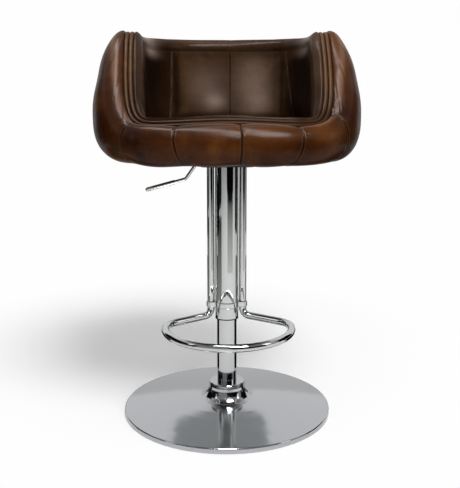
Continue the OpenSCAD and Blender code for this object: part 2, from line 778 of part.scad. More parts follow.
module lever_bracket() {
    inner_y = hub_barrel_len / 2 + soft_gap;
    color(steel) for (side = [0, 1]) mirror([0, side, 0]) difference() {
        translate([-pivot_out - ear_w / 2, inner_y, pan_floor_z])
            cube([ear_w, ear_t, lever_rise + ear_over]);
        translate([-pivot_out, inner_y - cut, lever_z]) rotate([-90, 0, 0])
            cylinder(d = pivot_d + 2 * seat_gap, h = ear_t + 2 * cut);
    }
}

module pivot_pin() {
    half_len = hub_barrel_len / 2 + soft_gap + ear_t + seat_gap;
    color("silver") translate([-pivot_out, 0, lever_z]) rotate([-90, 0, 0]) {
        translate([0, 0, -half_len]) cylinder(d = pivot_d, h = 2 * half_len);
        for (z = [-half_len - pin_head_t, half_len]) translate([0, 0, z])
            cylinder(d = pin_head_d, h = pin_head_t);
    }
}

// The lever runs in the plane of the column axis, through these points as [x, z]
lever_points = [[rod_end_x, 0], [-lever_knee_out, 0], [-lever_elbow_out, -lever_elbow_drop],
    [-lever_tip_out, -lever_tip_drop]];
lever_dirs = [for (i = [0:2]) unit(lever_points[i + 1] - lever_points[i])];
lever_heads = [for (v = lever_dirs) atan2(v[1], v[0])];
knee_turn = 360 + lever_heads[1] - lever_heads[0];
elbow_turn = lever_heads[2] - lever_heads[1];

module lever() {
    knee_cut = lever_bend_r * tan(abs(knee_turn) / 2);
    elbow_cut = lever_bend_r * tan(abs(elbow_turn) / 2);
    ends = [[lever_points[0], lever_points[1] - knee_cut * lever_dirs[0]],
        [lever_points[1] + knee_cut * lever_dirs[1], lever_points[2] - elbow_cut * lever_dirs[1]],
        [lever_points[2] + elbow_cut * lever_dirs[2], lever_points[3]]];
    knee_centre = ends[0][1] + lever_bend_r * [-lever_dirs[0][1], lever_dirs[0][0]];
    elbow_centre = ends[1][1] - lever_bend_r * [-lever_dirs[1][1], lever_dirs[1][0]];
    color(chrome) difference() {
        translate([0, 0, lever_z]) rotate([90, 0, 0]) {
            for (e = ends) bar([e[0][0], e[0][1], 0], [e[1][0], e[1][1], 0], lever_rod_d);
            arc_bar(knee_centre, lever_bend_r, lever_heads[0] - 90, lever_heads[0] - 90 + knee_turn,
                lever_rod_d);
            arc_bar(elbow_centre, lever_bend_r, lever_heads[2] + 90, lever_heads[2] + 90 - elbow_turn,
                lever_rod_d);
            translate([-pivot_out, 0, -hub_barrel_len / 2]) cylinder(d = hub_barrel_d, h = hub_barrel_len);
        }
        translate([-pivot_out, 0, lever_z]) rotate([90, 0, 0])
            cylinder(d = pivot_d + 2 * run_gap, h = hub_barrel_len + 2 * cut, center = true);
    }
}

module lever_grip() {
    tip = [lever_points[3][0], 0, lever_z + lever_points[3][1]];
    back = -[lever_dirs[2][0], 0, lever_dirs[2][1]];
    start = tip - grip_end_t * back;
    color(chrome) difference() {
        union() {
            bar(start, tip + grip_len * back, grip_d);
            translate(start) sphere(d = grip_d);
        }
        bar(tip - seat_gap * back, tip + (grip_len + cut) * back, lever_rod_d + 2 * seat_gap);
    }
}

module plate_bolts() {
    color(steel) at_bolts() translate([0, 0, plate_z]) {
        translate([0, 0, -bolt_head_t]) cylinder(d = bolt_head_d, h = bolt_head_t);
        cylinder(d = bolt_d, h = plate_t + board_t - tee_flange_t);
    }
}

module tee_nuts() {
    color("silver") at_bolts() {
        translate([0, 0, board_top_z - tee_len]) ring(tee_barrel_d / 2, bolt_d / 2 + seat_gap, tee_len);
        translate([0, 0, board_top_z]) ring(tee_flange_d / 2, bolt_d / 2 + seat_gap, tee_flange_t);
    }
}

// Seat
module seat_board() {
    color("burlywood") difference() {
        translate([0, 0, seat_base_h]) linear_extrude(board_t)
            polygon([for (phi = ring_phi) flat(off_rim(phi, frame_t / 2, 0))]);
        at_bolts() translate([0, 0, seat_base_h - cut])
            cylinder(d = tee_barrel_d + 2 * seat_gap, h = board_t + 2 * cut);
    }
}

module dust_cover() {
    color([0.1, 0.1, 0.1]) translate([0, 0, seat_base_h - dust_t]) difference() {
        linear_extrude(dust_t) polygon([for (phi = ring_phi) flat(off_rim(phi, -dust_inset, 0))]);
        translate([0, 0, -cut]) linear_extrude(dust_t + 2 * cut)
            rounded_square(plate_w + loose_gap, plate_d + loose_gap, plate_corner_r);
    }
}

module tub_frame() {
    color("tan") ring_solid([for (phi = ring_phi) let (top_z = rim_height(rim_plan(phi)) - frame_drop)
        [off_rim(phi, frame_t / 2, board_top_z), off_rim(phi, frame_t / 2, top_z),
            off_rim(phi, -frame_t / 2, top_z), off_rim(phi, -frame_t / 2, board_top_z)]], flipped = true);
}

module outer_roll() {
    color(leather_brown)
        ring_solid([for (i = [0:len(ring_phi) - 1]) roll_section(ring_phi[i], outer_swell[i])]);
}

module inner_lining() {
    color(leather_inner)
        ring_solid([for (i = [0:len(ring_phi) - 1]) lining_section(ring_phi[i], inner_swell[i])]);
}

module seat_cushion() {
    top_z = seat_base_h + cushion_rise;
    edge_z = seat_base_h + cushion_edge_rise;
    low_z = board_top_z + tee_flange_t + soft_gap;
    edge_out = -lining_t - panel_puff - loose_gap;
    function edge(out, z) = [for (phi = ring_phi) off_rim(phi, edge_out - out, z)];
    function inside(share, z) = [for (p = edge(cushion_draw, 0)) [share * p[0], share * p[1], z]];
    color(leather_inner) stacked_solid([0, 0, top_z], concat(
        [for (s = crown_shares) inside(s, mix(edge_z, top_z, 1 - pow(s, crown_power)))],
        [for (i = [0:len(edge_draw_shares) - 1])
            edge(cushion_draw * edge_draw_shares[i], mix(edge_z, low_z, edge_height_shares[i]))]),
        [0, 0, low_z]);
}

// A piping cord that runs round the rim at a distance inside its centre line
module piping_cord(inwards) {
    ring_solid([for (phi = ring_phi) [for (k = [0:cord_sides - 1]) let (a = 360 * (k + 0.5) / cord_sides)
        beside_rim(phi, inwards + cord_r * cos(a), cord_r * sin(a))]]);
}

module outer_piping() {
    color(piping_brown) piping_cord(-cord_pitch / 2);
}

module inner_piping() {
    color(piping_brown) piping_cord(cord_pitch / 2);
}

base_cover();
ballast();
foot_ring();
post();
flange_screws();
lower_bearing_washer();
ball_cage();
bearing_balls();
guide_bush();
piston_rod();
rod_clip();
upper_bearing_washer();
rubber_buffer();
piston();
gas_cylinder();
cylinder_seal();
sleeve();
sleeve_bush();
footrest();
footrest_collar();
taper_socket();
seat_plate();
lever_bracket();
pivot_pin();
lever();
lever_grip();
valve_pin();
plate_bolts();
tee_nuts();
seat_board();
dust_cover();
tub_frame();
outer_roll();
inner_lining();
seat_cushion();
outer_piping();
inner_piping();
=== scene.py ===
import math

import bpy
import numpy as np
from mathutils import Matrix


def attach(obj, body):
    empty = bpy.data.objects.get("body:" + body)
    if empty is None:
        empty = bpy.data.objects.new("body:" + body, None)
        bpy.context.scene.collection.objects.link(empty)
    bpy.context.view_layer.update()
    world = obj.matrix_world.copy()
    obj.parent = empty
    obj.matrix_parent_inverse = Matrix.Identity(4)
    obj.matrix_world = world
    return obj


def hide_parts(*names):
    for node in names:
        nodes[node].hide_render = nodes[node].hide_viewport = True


# Bar stool: a leather tub seat on a chrome column. The frame is in metres, the sizes below in millimetres.
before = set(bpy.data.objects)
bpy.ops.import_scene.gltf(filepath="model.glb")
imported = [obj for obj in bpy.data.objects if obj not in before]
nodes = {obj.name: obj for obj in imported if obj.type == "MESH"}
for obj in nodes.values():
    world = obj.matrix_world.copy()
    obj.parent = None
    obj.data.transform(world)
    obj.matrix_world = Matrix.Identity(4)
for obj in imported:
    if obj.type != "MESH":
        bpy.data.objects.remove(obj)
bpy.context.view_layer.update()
mm = 0.001
fullTurn = 2 * math.pi


def linearColor(hexCode):
    # Each sRGB channel c turns into c / 12.92 where it is dark, else into ((c + 0.055) / 1.055)^2.4.
    channels = [int(hexCode[i : i + 2], 16) / 255 for i in (1, 3, 5)]
    return tuple(c / 12.92 if c <= 0.04045 else ((c + 0.055) / 1.055) ** 2.4 for c in channels) + (1.0,)


def newMaterial(name):
    material = bpy.data.materials.new(name)
    material.use_nodes = True
    tree = material.node_tree
    return material, tree, tree.nodes["Principled BSDF"]


def feed(node, inputs):
    # An input is named or counted, and takes a socket, which is linked, a hex colour or a plain value.
    for key, value in inputs.items():
        if isinstance(value, bpy.types.NodeSocket):
            node.id_data.links.new(value, node.inputs[key])
        else:
            node.inputs[key].default_value = linearColor(value) if isinstance(value, str) else value


def addNode(tree, kind, inputs=None, out=0, stops=(), **settings):
    # Adds a node and returns one of its outputs. stops are the (place, hex) pairs of a colour ramp.
    node = tree.nodes.new("ShaderNode" + kind)
    for key, value in settings.items():
        setattr(node, key, value)
    feed(node, inputs or {})
    for count, (place, hexCode) in enumerate(stops):
        elements = node.color_ramp.elements
        element = elements[count] if count < 2 else elements.new(place)
        element.position = place
        element.color = linearColor(hexCode)
    return node.outputs[out]


def patternScale(sizeMm):
    # Patterns are counted per metre.
    return 1 / (sizeMm * mm)


def unit(vectors):
    return vectors / np.linalg.norm(vectors, axis=-1, keepdims=True)


def ease(share):
    # 3 s^2 - 2 s^3, held at 0 before 0 and at 1 past 1.
    share = np.clip(share, 0, 1)
    return share * share * (3 - 2 * share)


def bell(values, middle, width):
    # e to the minus ((value - middle) / width)^2.
    return np.exp(-(((values - middle) / width) ** 2))


def blendTo(first, second, share):
    return first + (second - first) * share


def buildMesh(name, points, faces, material, attributes=None):
    # A smooth mesh through points in millimetres, with a number at each point for every attribute.
    mesh = bpy.data.meshes.new(name)
    mesh.from_pydata((np.asarray(points) * mm).tolist(), [], faces)
    mesh.polygons.foreach_set("use_smooth", [True] * len(mesh.polygons))
    for key, values in (attributes or {}).items():
        layer = mesh.attributes.new(key, "FLOAT", "POINT")
        layer.data.foreach_set("value", np.ascontiguousarray(values, dtype=np.float32).ravel())
    mesh.materials.append(material)
    mesh.validate()
    mesh.update()
    piece = bpy.data.objects.new(name, mesh)
    bpy.context.scene.collection.objects.link(piece)
    return piece


def gridFaces(rows, columns, closeAcross):
    # Quads between neighbours of a grid whose rows close into a ring, and with closeAcross its columns too.
    index = np.arange(rows * columns).reshape(rows, columns)
    if closeAcross:
        index = np.concatenate([index, index[:, :1]], 1)
    following = np.roll(index, -1, 0)
    quads = np.stack([index[:, :-1], following[:, :-1], following[:, 1:], index[:, 1:]], -1)
    return quads.reshape(-1, 4).tolist()


def gridMesh(name, points, material, attributes=None):
    # A mesh over a grid that closes both ways.
    rows, columns = points.shape[:2]
    return buildMesh(name, points.reshape(-1, 3), gridFaces(rows, columns, True), material, attributes)


# Camera: the lens and the place come from a fit to the photo.
camera = dict(
    focalPixels=770, imagePixels=488, sensor=36, turnDeg=2.2, pitchDeg=11.6, place=(-0.0549, -1.6071, 0.702))
cameraData = bpy.data.cameras.new("photoCamera")
cameraData.sensor_fit = "AUTO"
cameraData.sensor_width = camera["sensor"]
cameraData.lens = camera["focalPixels"] * camera["sensor"] / camera["imagePixels"]
cameraObject = bpy.data.objects.new("photoCamera", cameraData)
cameraObject.location = camera["place"]
cameraObject.rotation_euler = (math.radians(90 - camera["pitchDeg"]), 0, math.radians(-camera["turnDeg"]))
bpy.context.scene.collection.objects.link(cameraObject)
bpy.context.scene.camera = cameraObject
bpy.context.scene.view_settings.view_transform = "Standard"


def areaLight(name, place, aim, size, watts):
    # A rectangular lamp at a place, turned towards its aim, all in metres.
    data = bpy.data.lights.new(name, "AREA")
    data.shape = "RECTANGLE"
    data.size, data.size_y = size
    data.energy = watts
    lamp = bpy.data.objects.new(name, data)
    lamp.location = place
    east, north, up = np.subtract(aim, place)
    pitch, turn = math.atan2(up, math.hypot(east, north)), math.atan2(north, east)
    lamp.rotation_euler = (math.pi / 2 + pitch, 0, turn - math.pi / 2)
    bpy.context.scene.collection.objects.link(lamp)


areaLight("keyLight", (0.85, -2.08, 3.47), (0, 0, 0.5), (1.4, 1.2), 108)
areaLight("topLight", (-0.1, 0.1, 2.4), (0, 0, 0.6), (1.3, 0.35), 5)
areaLight("leftLight", (-2.3, -0.9, 1.5), (0, 0, 0.65), (0.45, 1.3), 2)
areaLight("rightLight", (2.3, -1.0, 1.6), (0, 0, 0.65), (0.45, 1.3), 4)

# World: it lights the stool softly and looks white. Gloss sees it dim overhead and in front.
studio = dict(hexCode="#fefefe", fill=0.36, behind=0.85, infront=0.28, overhead=0.3)
world = bpy.data.worlds.new("studioWorld")
world.use_nodes = True
bpy.context.scene.world = world
worldTree = world.node_tree
look = addNode(worldTree, "SeparateXYZ", {0: addNode(worldTree, "TexCoord", out="Generated")}).node.outputs
backLevel = addNode(worldTree, "MapRange", {
    "Value": look["Y"], "From Min": -0.45, "From Max": 0.55,
    "To Min": studio["infront"], "To Max": studio["behind"],
}, interpolation_type="SMOOTHSTEP")
highShare = addNode(worldTree, "MapRange", {
    "Value": look["Z"], "From Min": 0.6, "From Max": 0.95, "To Min": 1.0, "To Max": studio["overhead"],
}, interpolation_type="SMOOTHSTEP")
glossLevel = addNode(worldTree, "Math", {0: backLevel, 1: highShare}, operation="MULTIPLY")
worldPath = addNode(worldTree, "LightPath").node.outputs
litLevel = addNode(worldTree, "MapRange", {
    "Value": worldPath["Is Glossy Ray"], "To Min": studio["fill"], "To Max": glossLevel})
seenLevel = addNode(worldTree, "MapRange", {
    "Value": worldPath["Is Camera Ray"], "To Min": litLevel, "To Max": 1.0})
feed(worldTree.nodes["Background"], {"Color": studio["hexCode"], "Strength": seenLevel})

# Floor: the camera sees it a little brighter than it is lit, and away from the shadow as a plain pale sheet.
floor = dict(
    halfWidth=7000, hexCode="#f4f4f4", roughness=0.9, lift=0.14,
    shadowPlace=(-0.12, 0.42, 0), near=0.15, far=0.8)
floorMaterial, floorTree, floorShader = newMaterial("mattePaleFloor")
feed(floorShader, {"Base Color": floor["hexCode"], "Roughness": floor["roughness"]})
fromShadow = addNode(floorTree, "VectorMath", {
    0: addNode(floorTree, "TexCoord", out="Object"), 1: floor["shadowPlace"]}, "Value", operation="DISTANCE")
farShare = addNode(floorTree, "MapRange", {
    "Value": fromShadow, "From Min": floor["near"], "From Max": floor["far"],
}, interpolation_type="SMOOTHSTEP")
toFloorCamera = addNode(floorTree, "LightPath", out="Is Camera Ray")
liftLevel = addNode(floorTree, "Math", {0: toFloorCamera, 1: floor["lift"]}, operation="MULTIPLY")
floorLit = addNode(floorTree, "AddShader", {
    0: floorShader.outputs[0], 1: addNode(floorTree, "Emission", {"Strength": liftLevel})})
floorPlain = addNode(floorTree, "Emission", {"Color": studio["hexCode"], "Strength": 1.0})
plainShare = addNode(floorTree, "Math", {0: toFloorCamera, 1: farShare}, operation="MULTIPLY")
floorMix = addNode(floorTree, "MixShader", {0: plainShare, 1: floorLit, 2: floorPlain})
feed(floorTree.nodes["Material Output"], {"Surface": floorMix})
cornerSigns = ((-1, -1), (1, -1), (1, 1), (-1, 1))
floorCorners = [(x * floor["halfWidth"], y * floor["halfWidth"], 0) for x, y in cornerSigns]
buildMesh("studioFloor", floorCorners, [(0, 1, 2, 3)], floorMaterial)


def reflectionCard(name, corners, hexCode, strength=1.0, reach=None, farHex=None):
    # A card that only gloss sees, as the lamps and dark gaps of a studio, through its corners in metres.
    # With a reach it shades from one colour near the column to another far from it.
    material, tree, _ = newMaterial(name)
    color = hexCode
    if reach:
        place = addNode(tree, "TexCoord", out="Object")
        length = addNode(tree, "VectorMath", {0: place}, "Value", operation="LENGTH")
        share = addNode(tree, "MapRange", {"Value": length, "From Min": reach[0], "From Max": reach[1]})
        color = addNode(tree, "Mix", {0: share, 6: hexCode, 7: farHex}, 2, data_type="RGBA")
    glow = addNode(tree, "Emission", {"Color": color, "Strength": strength})
    feed(tree.nodes["Material Output"], {"Surface": glow})
    card = buildMesh(name, np.array(corners) / mm, [tuple(range(len(corners)))], material)
    card.visible_camera = card.visible_diffuse = card.visible_shadow = False


def standingCard(name, place, aim, size, hexCode, strength=1.0):
    # A rectangle at a place, square to the line towards its aim.
    toAim = unit(np.subtract(aim, place))
    across = unit(np.cross(toAim, (0, 0, 1))) * size[0] / 2
    upward = np.cross(unit(across), toAim) * size[1] / 2
    corners = [place + across * i + upward * j for i, j in cornerSigns]
    reflectionCard(name, corners, hexCode, strength)


def floorCard(name, angles, reach, nearHex, farHex):
    # A sector just over the floor, between two directions from the front and two distances from the column.
    turns = np.radians(np.linspace(angles[0], angles[1], 9))
    arcs = ((reach[0], turns), (reach[1], turns[::-1]))
    corners = [(radius * math.sin(t), -radius * math.cos(t), 0.001) for radius, arc in arcs for t in arc]
    reflectionCard(name, corners, nearHex, 1.0, reach, farHex)


standingCard("topCard", (-0.3, -0.35, 2.5), (0, -0.1, 0.6), (2.0, 0.4), "#ffffff", 17)  # the light on the lip
standingCard("frontDarkCard", (1.5, -2.5, 0.85), (0, 0, 0.4), (3.8, 1.7), "#050505")
standingCard("frontLeftCard", (-2.56, -0.5, 0.85), (0, 0, 0.4), (2.6, 1.7), "#1a1a19")
standingCard("backLowCard", (0, 2.6, 0.42), (0, 0, 0.4), (3.4, 0.8), "#cfcfcf")  # the far side of the disc
standingCard("leftDarkCard", (-1.8, 0.5, 0.75), (0, 0, 0.5), (1.9, 1.5), "#0a0a0a")
standingCard("rightDarkCard", (1.9, 0.5, 0.75), (0, 0, 0.5), (1.5, 1.5), "#0a0a0a")
standingCard("backGreyCard", (0.02, 2.4, 2.05), (0, 0, 0), (1.0, 0.7), "#a0a2a2")
floorCard("frontLeftFloorCard", (-102, -54), (0.9, 2.6), "#9a9a96", "#20201f")  # the streaks of the column
floorCard("frontRightFloorCard", (4, 58), (1.3, 3.4), "#dcdcd8", "#0a0a0a")
floorCard("leftFloorCard", (-102, -150), (0.26, 1.6), "#0c0c0a", "#0c0c0a")
floorCard("rightFloorCard", (95, 150), (0.26, 1.6), "#0c0c0a", "#0c0c0a")
print("stage: studio")


plating = dict(wearMm=26.3, wearDetail=4.0, grainMm=1.1, grainDetail=2.0, grainDepth=0.2)


def platedSteel(name, hexCode, roughness, wear, grain=0.0):
    # Plated steel: clouds of wear make its gloss a little uneven. Zinc has a fine grain too, drawn coarse.
    material, tree, shader = newMaterial(name)
    place = addNode(tree, "TexCoord", out="Object")
    cloud = addNode(tree, "TexNoise", {
        "Vector": place, "Scale": patternScale(plating["wearMm"]), "Detail": plating["wearDetail"]})
    gloss = addNode(tree, "MapRange", {
        "Value": cloud, "From Min": 0.3, "From Max": 0.7, "To Min": roughness, "To Max": roughness + wear})
    feed(shader, {"Base Color": hexCode, "Metallic": 1.0, "Roughness": gloss})
    if grain:
        fine = addNode(tree, "TexNoise", {
            "Vector": place, "Scale": patternScale(plating["grainMm"]), "Detail": plating["grainDetail"]})
        bump = addNode(tree, "Bump", {
            "Height": fine, "Strength": grain, "Distance": plating["grainDepth"] * mm})
        feed(shader, {"Normal": bump})
    return material


def grainySolid(name, hexCode, roughness, grainMm, depthMm, metallic=0.0):
    # Moulded, cast, painted, sanded or woven: one texture, as wide as its grain, in colour and in bump. The
    # real grain of nylon, rubber, iron and brass is finer than this, and is drawn coarse so that it shows.
    material, tree, shader = newMaterial(name)
    place = addNode(tree, "TexCoord", out="Object")
    grain = addNode(tree, "TexNoise", {"Vector": place, "Scale": patternScale(grainMm), "Detail": 5.0})
    shade = addNode(tree, "ValToRGB", {"Fac": grain}, stops=((0.3, "#000000"), (0.7, "#9a9a9a")))
    tone = addNode(tree, "Mix", {0: 0.35, 6: hexCode, 7: shade}, 2, data_type="RGBA", blend_type="OVERLAY")
    bump = addNode(tree, "Bump", {"Height": grain, "Strength": 1.0, "Distance": depthMm * mm})
    feed(shader, {"Base Color": tone, "Roughness": roughness, "Metallic": metallic, "Normal": bump})
    return material


polishedChrome = platedSteel("polishedChromePlate", "#c9cbca", 0.03, 0.04)  # a mirror, hardly worn
satinChrome = platedSteel("satinChromePlate", "#bcbec1", 0.08, 0.05)  # reflections with soft edges
zincPlate = platedSteel("zincPlatedSteel", "#a9abad", 0.28, 0.12, 0.3)  # dull, cool grey
mouldedNylon = grainySolid("mouldedNylon", "#15151a", 0.42, 1.1, 0.02)  # black with an even soft sheen
powderCoat = grainySolid("powderCoatedSteel", "#17171a", 0.35, 2.0, 0.03)  # black with a slight orange peel
mouldedRubber = grainySolid("mouldedRubber", "#121212", 0.75, 1.4, 0.05)  # matte black
castIron = grainySolid("sandCastIron", "#2c2c2e", 0.7, 3.8, 0.2, 0.6)  # dark, with the sand's pitted skin
pressedBrass = grainySolid("pressedBrass", "#a98a4c", 0.3, 3.3, 0.01, 1.0)  # yellow, smooth from the press
sandedPlywood = grainySolid("sandedPlywood", "#b08a5c", 0.7, 16.7, 0.1)  # pale, cloudy wood
wovenCloth = grainySolid("wovenPolypropylene", "#101012", 0.95, 0.7, 0.15)  # dull black, threads drawn coarse

finishes = (
    (polishedChrome, ("post", "sleeve", "footrest", "footrest_collar", "lever", "lever_grip")),
    (satinChrome, ("base_cover",)),
    (zincPlate, (
        "flange_screws", "lower_bearing_washer", "bearing_balls", "upper_bearing_washer", "piston_rod",
        "rod_clip", "piston", "taper_socket", "pivot_pin", "valve_pin", "plate_bolts", "tee_nuts")),
    (mouldedNylon, ("guide_bush", "sleeve_bush")),
    (mouldedRubber, ("foot_ring", "rubber_buffer", "cylinder_seal")),
    (castIron, ("ballast",)),
    (pressedBrass, ("ball_cage",)),
    (powderCoat, ("gas_cylinder", "seat_plate", "lever_bracket")),
    (sandedPlywood, ("seat_board", "tub_frame")),
)
for material, nodeNames in finishes:
    for nodeName in nodeNames:
        slots = nodes[nodeName].data.materials
        slots.clear()
        slots.append(material)
print("stage: metal, plastic and wood")


# Tub: the same named sizes and formulas as the part, with the rim climbing from the lip to the arms.
tub = dict(
    width=530, depth=476, baseZ=558, boardTop=573, lipZ=638, lipSag=5.5, sagShare=0.83, armZ=804, backDip=6.5,
    armRoll=72, backRoll=62, frontRoll=41, sweepStart=190, sweepEnd=10, frontLean=(0, -0.62, 0.78),
    backBlend=120, frontBulge=40, sideBulge=82, bulgeBlend=150, frameT=8, frameDrop=28, liningT=27,
    rimFrontPower=5, rimBackPower=2.4, bulgeFrontPower=2.9, bulgeBackPower=2.4, footFrontPower=3,
    lowerPower=2.4, upperPower=1.8, headerDrop=20, gap=0.3, shelfDepth=4.6, crestOut=12.5, crestUp=6,
    cordR=4.3, cordPitch=9.2,
)
rimHalf = tub["width"] / 2 - tub["armRoll"]
rimFront = tub["depth"] / 2 - tub["frontRoll"]
rimBack = tub["depth"] / 2 - tub["backRoll"]

# The sewn seams: direction in degrees at the rim and at the bottom edge, and how far the middle bows.
outerSeams = ((32, 32, 0), (85, 85, 0), (131, 131, 0), (226, 221.5, 0), (243.5, 249.5, 0), (275, 274.2, 0),
              (302.5, 296.5, 0), (318.5, 324, 0))
innerSeams = ((41, 23, 2.6), (85.7, 85.7, 0), (133, 138, -2.5))


def ovalPlan(phi, halfWidth, frontReach, backReach, frontPower, backPower):
    # Superellipse: radius = (|cos / a|^n + |sin / b|^n)^(-1/n), with b and n of their own for front and back.
    cos, sin = np.cos(phi), np.sin(phi)
    reach = np.where(sin < 0, frontReach, backReach)
    power = np.where(sin < 0, frontPower, backPower)
    radius = ((np.abs(cos) / halfWidth) ** power + (np.abs(sin) / reach) ** power) ** (-1 / power)
    return np.stack([radius * cos, radius * sin], -1)


def rimPlan(phi):
    # The rim from above.
    return ovalPlan(phi, rimHalf, rimFront, rimBack, tub["rimFrontPower"], tub["rimBackPower"])


def footPlan(phi):
    # The outline of the board.
    return ovalPlan(phi, rimHalf, rimFront, rimBack, tub["footFrontPower"], tub["rimBackPower"])


def rimHeight(plan):
    # The lip sags towards its corners, climbs to the arms on an eased ramp and dips a little at the back.
    x, y = plan[..., 0], plan[..., 1]
    lip = tub["lipZ"] - tub["lipSag"] * ease(np.abs(x) / (tub["sagShare"] * rimHalf))
    climb = ease((y + tub["sweepStart"]) / (tub["sweepStart"] - tub["sweepEnd"]))
    return blendTo(lip, tub["armZ"], climb) - tub["backDip"] * ease((y + tub["sweepEnd"]) / tub["backBlend"])


def rimPoint(phi):
    plan = rimPlan(phi)
    return np.concatenate([plan, rimHeight(plan)[..., None]], -1)


def rimFrame(phi):
    # Up leans forward at the front, square to the rim. Inward is the cross product of up and along.
    step = math.radians(1)
    along = unit(rimPoint(phi + step) - rimPoint(phi - step))
    share = ease(rimPlan(phi)[..., 1] / tub["backBlend"])[..., None]
    lean = blendTo(np.array(tub["frontLean"]), np.array([0.0, 0.0, 1.0]), share)
    up = unit(lean - (lean * along).sum(-1, keepdims=True) * along)
    return up, np.cross(up, along)


def column(phi, value):
    # A number, or one number for each direction, as a column beside the points.
    return np.broadcast_to(np.asarray(value, float), phi.shape)[..., None]


def besideRim(phi, inwards, upwards):
    # The rim point, moved along the rim's own inward and upward directions.
    up, inward = rimFrame(phi)
    return rimPoint(phi) + column(phi, inwards) * inward + column(phi, upwards) * up


def offRim(phi, out, z):
    # A point at height z, a level distance outside the wall that joins the board outline to the rim.
    step = math.radians(1)
    tangent = rimPlan(phi + step) - rimPlan(phi - step)
    outward = unit(np.stack([tangent[..., 1], -tangent[..., 0]], -1))
    topZ = rimHeight(rimPlan(phi)) - tub["frameDrop"]
    share = np.clip((z - tub["boardTop"]) / (topZ - tub["boardTop"]), 0, 1)[..., None]
    plan = blendTo(footPlan(phi), rimPlan(phi), share) + column(phi, out) * outward
    return np.concatenate([plan, column(phi, z)], -1)


def bulgePoint(phi):
    # The widest line of the seat, a superellipse that rises from the front to the sides.
    halfDepth = tub["depth"] / 2
    powers = tub["bulgeFrontPower"], tub["bulgeBackPower"]
    plan = ovalPlan(phi, tub["width"] / 2, halfDepth, halfDepth, *powers)
    rise = blendTo(tub["frontBulge"], tub["sideBulge"], ease((plan[..., 1] + halfDepth) / tub["bulgeBlend"]))
    return np.concatenate([plan, (tub["baseZ"] + rise)[..., None]], -1)


def walked(points):
    # How far each point of a row lies along it.
    steps = np.linalg.norm(np.diff(points, axis=1), axis=-1)
    return np.concatenate([np.zeros((len(points), 1)), np.cumsum(steps, 1)], 1)


def resampleRows(points, count):
    # Each row of points is walked again in equal steps of its own length.
    shares = np.linspace(0, 1, count)
    return np.array([np.stack([np.interp(shares * lengths[-1], lengths, row[:, k]) for k in range(3)], -1)
                     for row, lengths in zip(points, walked(points))])


def throughPoints(points, steps):
    # A Catmull-Rom curve through each row's points: a cubic between two, sloped as their neighbours lie.
    before, after = 2 * points[:, :1] - points[:, 1:2], 2 * points[:, -1:] - points[:, -2:-1]
    padded = np.concatenate([before, points, after], 1)
    t = np.linspace(0, 1, steps, endpoint=False)[None, :, None]
    pieces = []
    for k in range(points.shape[1] - 1):
        a, b, c, d = (padded[:, k + i : k + i + 1] for i in range(4))
        curve = 2 * b + (c - a) * t + (2 * a - 5 * b + 4 * c - d) * t**2 + (3 * b - a - 3 * c + d) * t**3
        pieces.append(0.5 * curve)
    return np.concatenate(pieces + [points[:, -1:]], 1)


def surfaceNormals(points):
    # The cross product of the steps round and across a grid that closes round its rows.
    around = np.roll(points, -1, 0) - np.roll(points, 1, 0)
    return unit(np.cross(around, np.gradient(points, axis=1)))


def softLumps(points, wavelength, count, seed):
    # Smooth unevenness of about -1 to 1: added sine waves in random directions, over the root of their count.
    random = np.random.default_rng(seed)
    total = np.zeros(points.shape[:-1])
    for _ in range(count):
        direction = unit(random.normal(size=3))
        length = wavelength * random.uniform(0.7, 1.5)
        total += np.sin((points @ direction) * fullTurn / length + random.uniform(0, fullTurn))
    return total / math.sqrt(count)


def ringAngles(seams, coarse, fine, reach):
    # Directions all round, in steps that shrink beside each seam. Steps and reach are in degrees.
    angles, at = [], 0.0
    middles = [(top + bottom) / 2 + bow for top, bottom, bow in seams]
    while at < 360:
        near = min(abs((at - middle + 180) % 360 - 180) for middle in middles)
        angles.append(at)
        at += blendTo(fine, coarse, float(ease(near / reach)))
    return np.radians(np.array(angles) * 360 / at)


# Sewing, in mm: the gathers beside a seam, the swell away from it, the ridge along it, its dark line and the
# painted shade beside it.
sewing = dict(
    gatherMm=(13, 18), gatherReach=12, gatherGap=4, swellReach=24, swellPower=1.4, ridge=0.22, ridgeAt=2.8,
    ridgeWide=1.5, lineWide=1.15, shade=0.3, shadeReach=8, creaseBow=0.1, creaseLip=0.45)


def seamField(phi, points, seams, topFirst, seam):
    # How far leather stands out: a swell between seams, a narrow sewn valley with a ridge on one side, and
    # small gathers that fade with the distance. Also how near a seam is, as its dark line and a painted shade
    # beside it, and mm away from it and along it.
    random = np.random.default_rng(seam["seed"])
    lowShare = np.linspace(0, 1, points.shape[1])[None, :: 1 if topFirst else -1]
    radius = np.linalg.norm(points[..., :2], axis=-1)
    along = walked(points)
    gathers, nearest = np.zeros(radius.shape), np.full(radius.shape, 1e3)
    for top, bottom, bow in seams:
        middle = np.radians(top + (bottom - top) * lowShare + 4 * bow * lowShare * (1 - lowShare))
        distance = ((phi[:, None] - middle + math.pi) % fullTurn - math.pi) * radius
        away = np.abs(distance)
        nearest = np.where(away < np.abs(nearest), distance, nearest)
        offset = np.where(distance < 0, random.uniform(0, 6), random.uniform(0, 6))
        pace = random.uniform(*sewing["gatherMm"])
        waves = np.sin(along * fullTurn / pace + offset + 1.3 * np.sin(along / 23))
        gathers += waves * np.exp(-away / sewing["gatherReach"]) * (1 - bell(away, 0, sewing["gatherGap"]))
    away = np.abs(nearest)
    valley = np.exp(-((away / seam["width"]) ** 1.5))
    swell = 1 - np.exp(-((away / sewing["swellReach"]) ** sewing["swellPower"]))
    field = seam["puff"] * swell + seam["pucker"] * gathers
    ridge = sewing["ridge"] * bell(nearest, sewing["ridgeAt"], sewing["ridgeWide"])
    field += seam["depth"] * (ridge - valley)
    # A painted shade beside each seam, fading over shadeReach.
    shade = sewing["shade"] * np.exp(-away / sewing["shadeReach"])
    return field, np.maximum(bell(away, 0, sewing["lineWide"]), shade), nearest, along


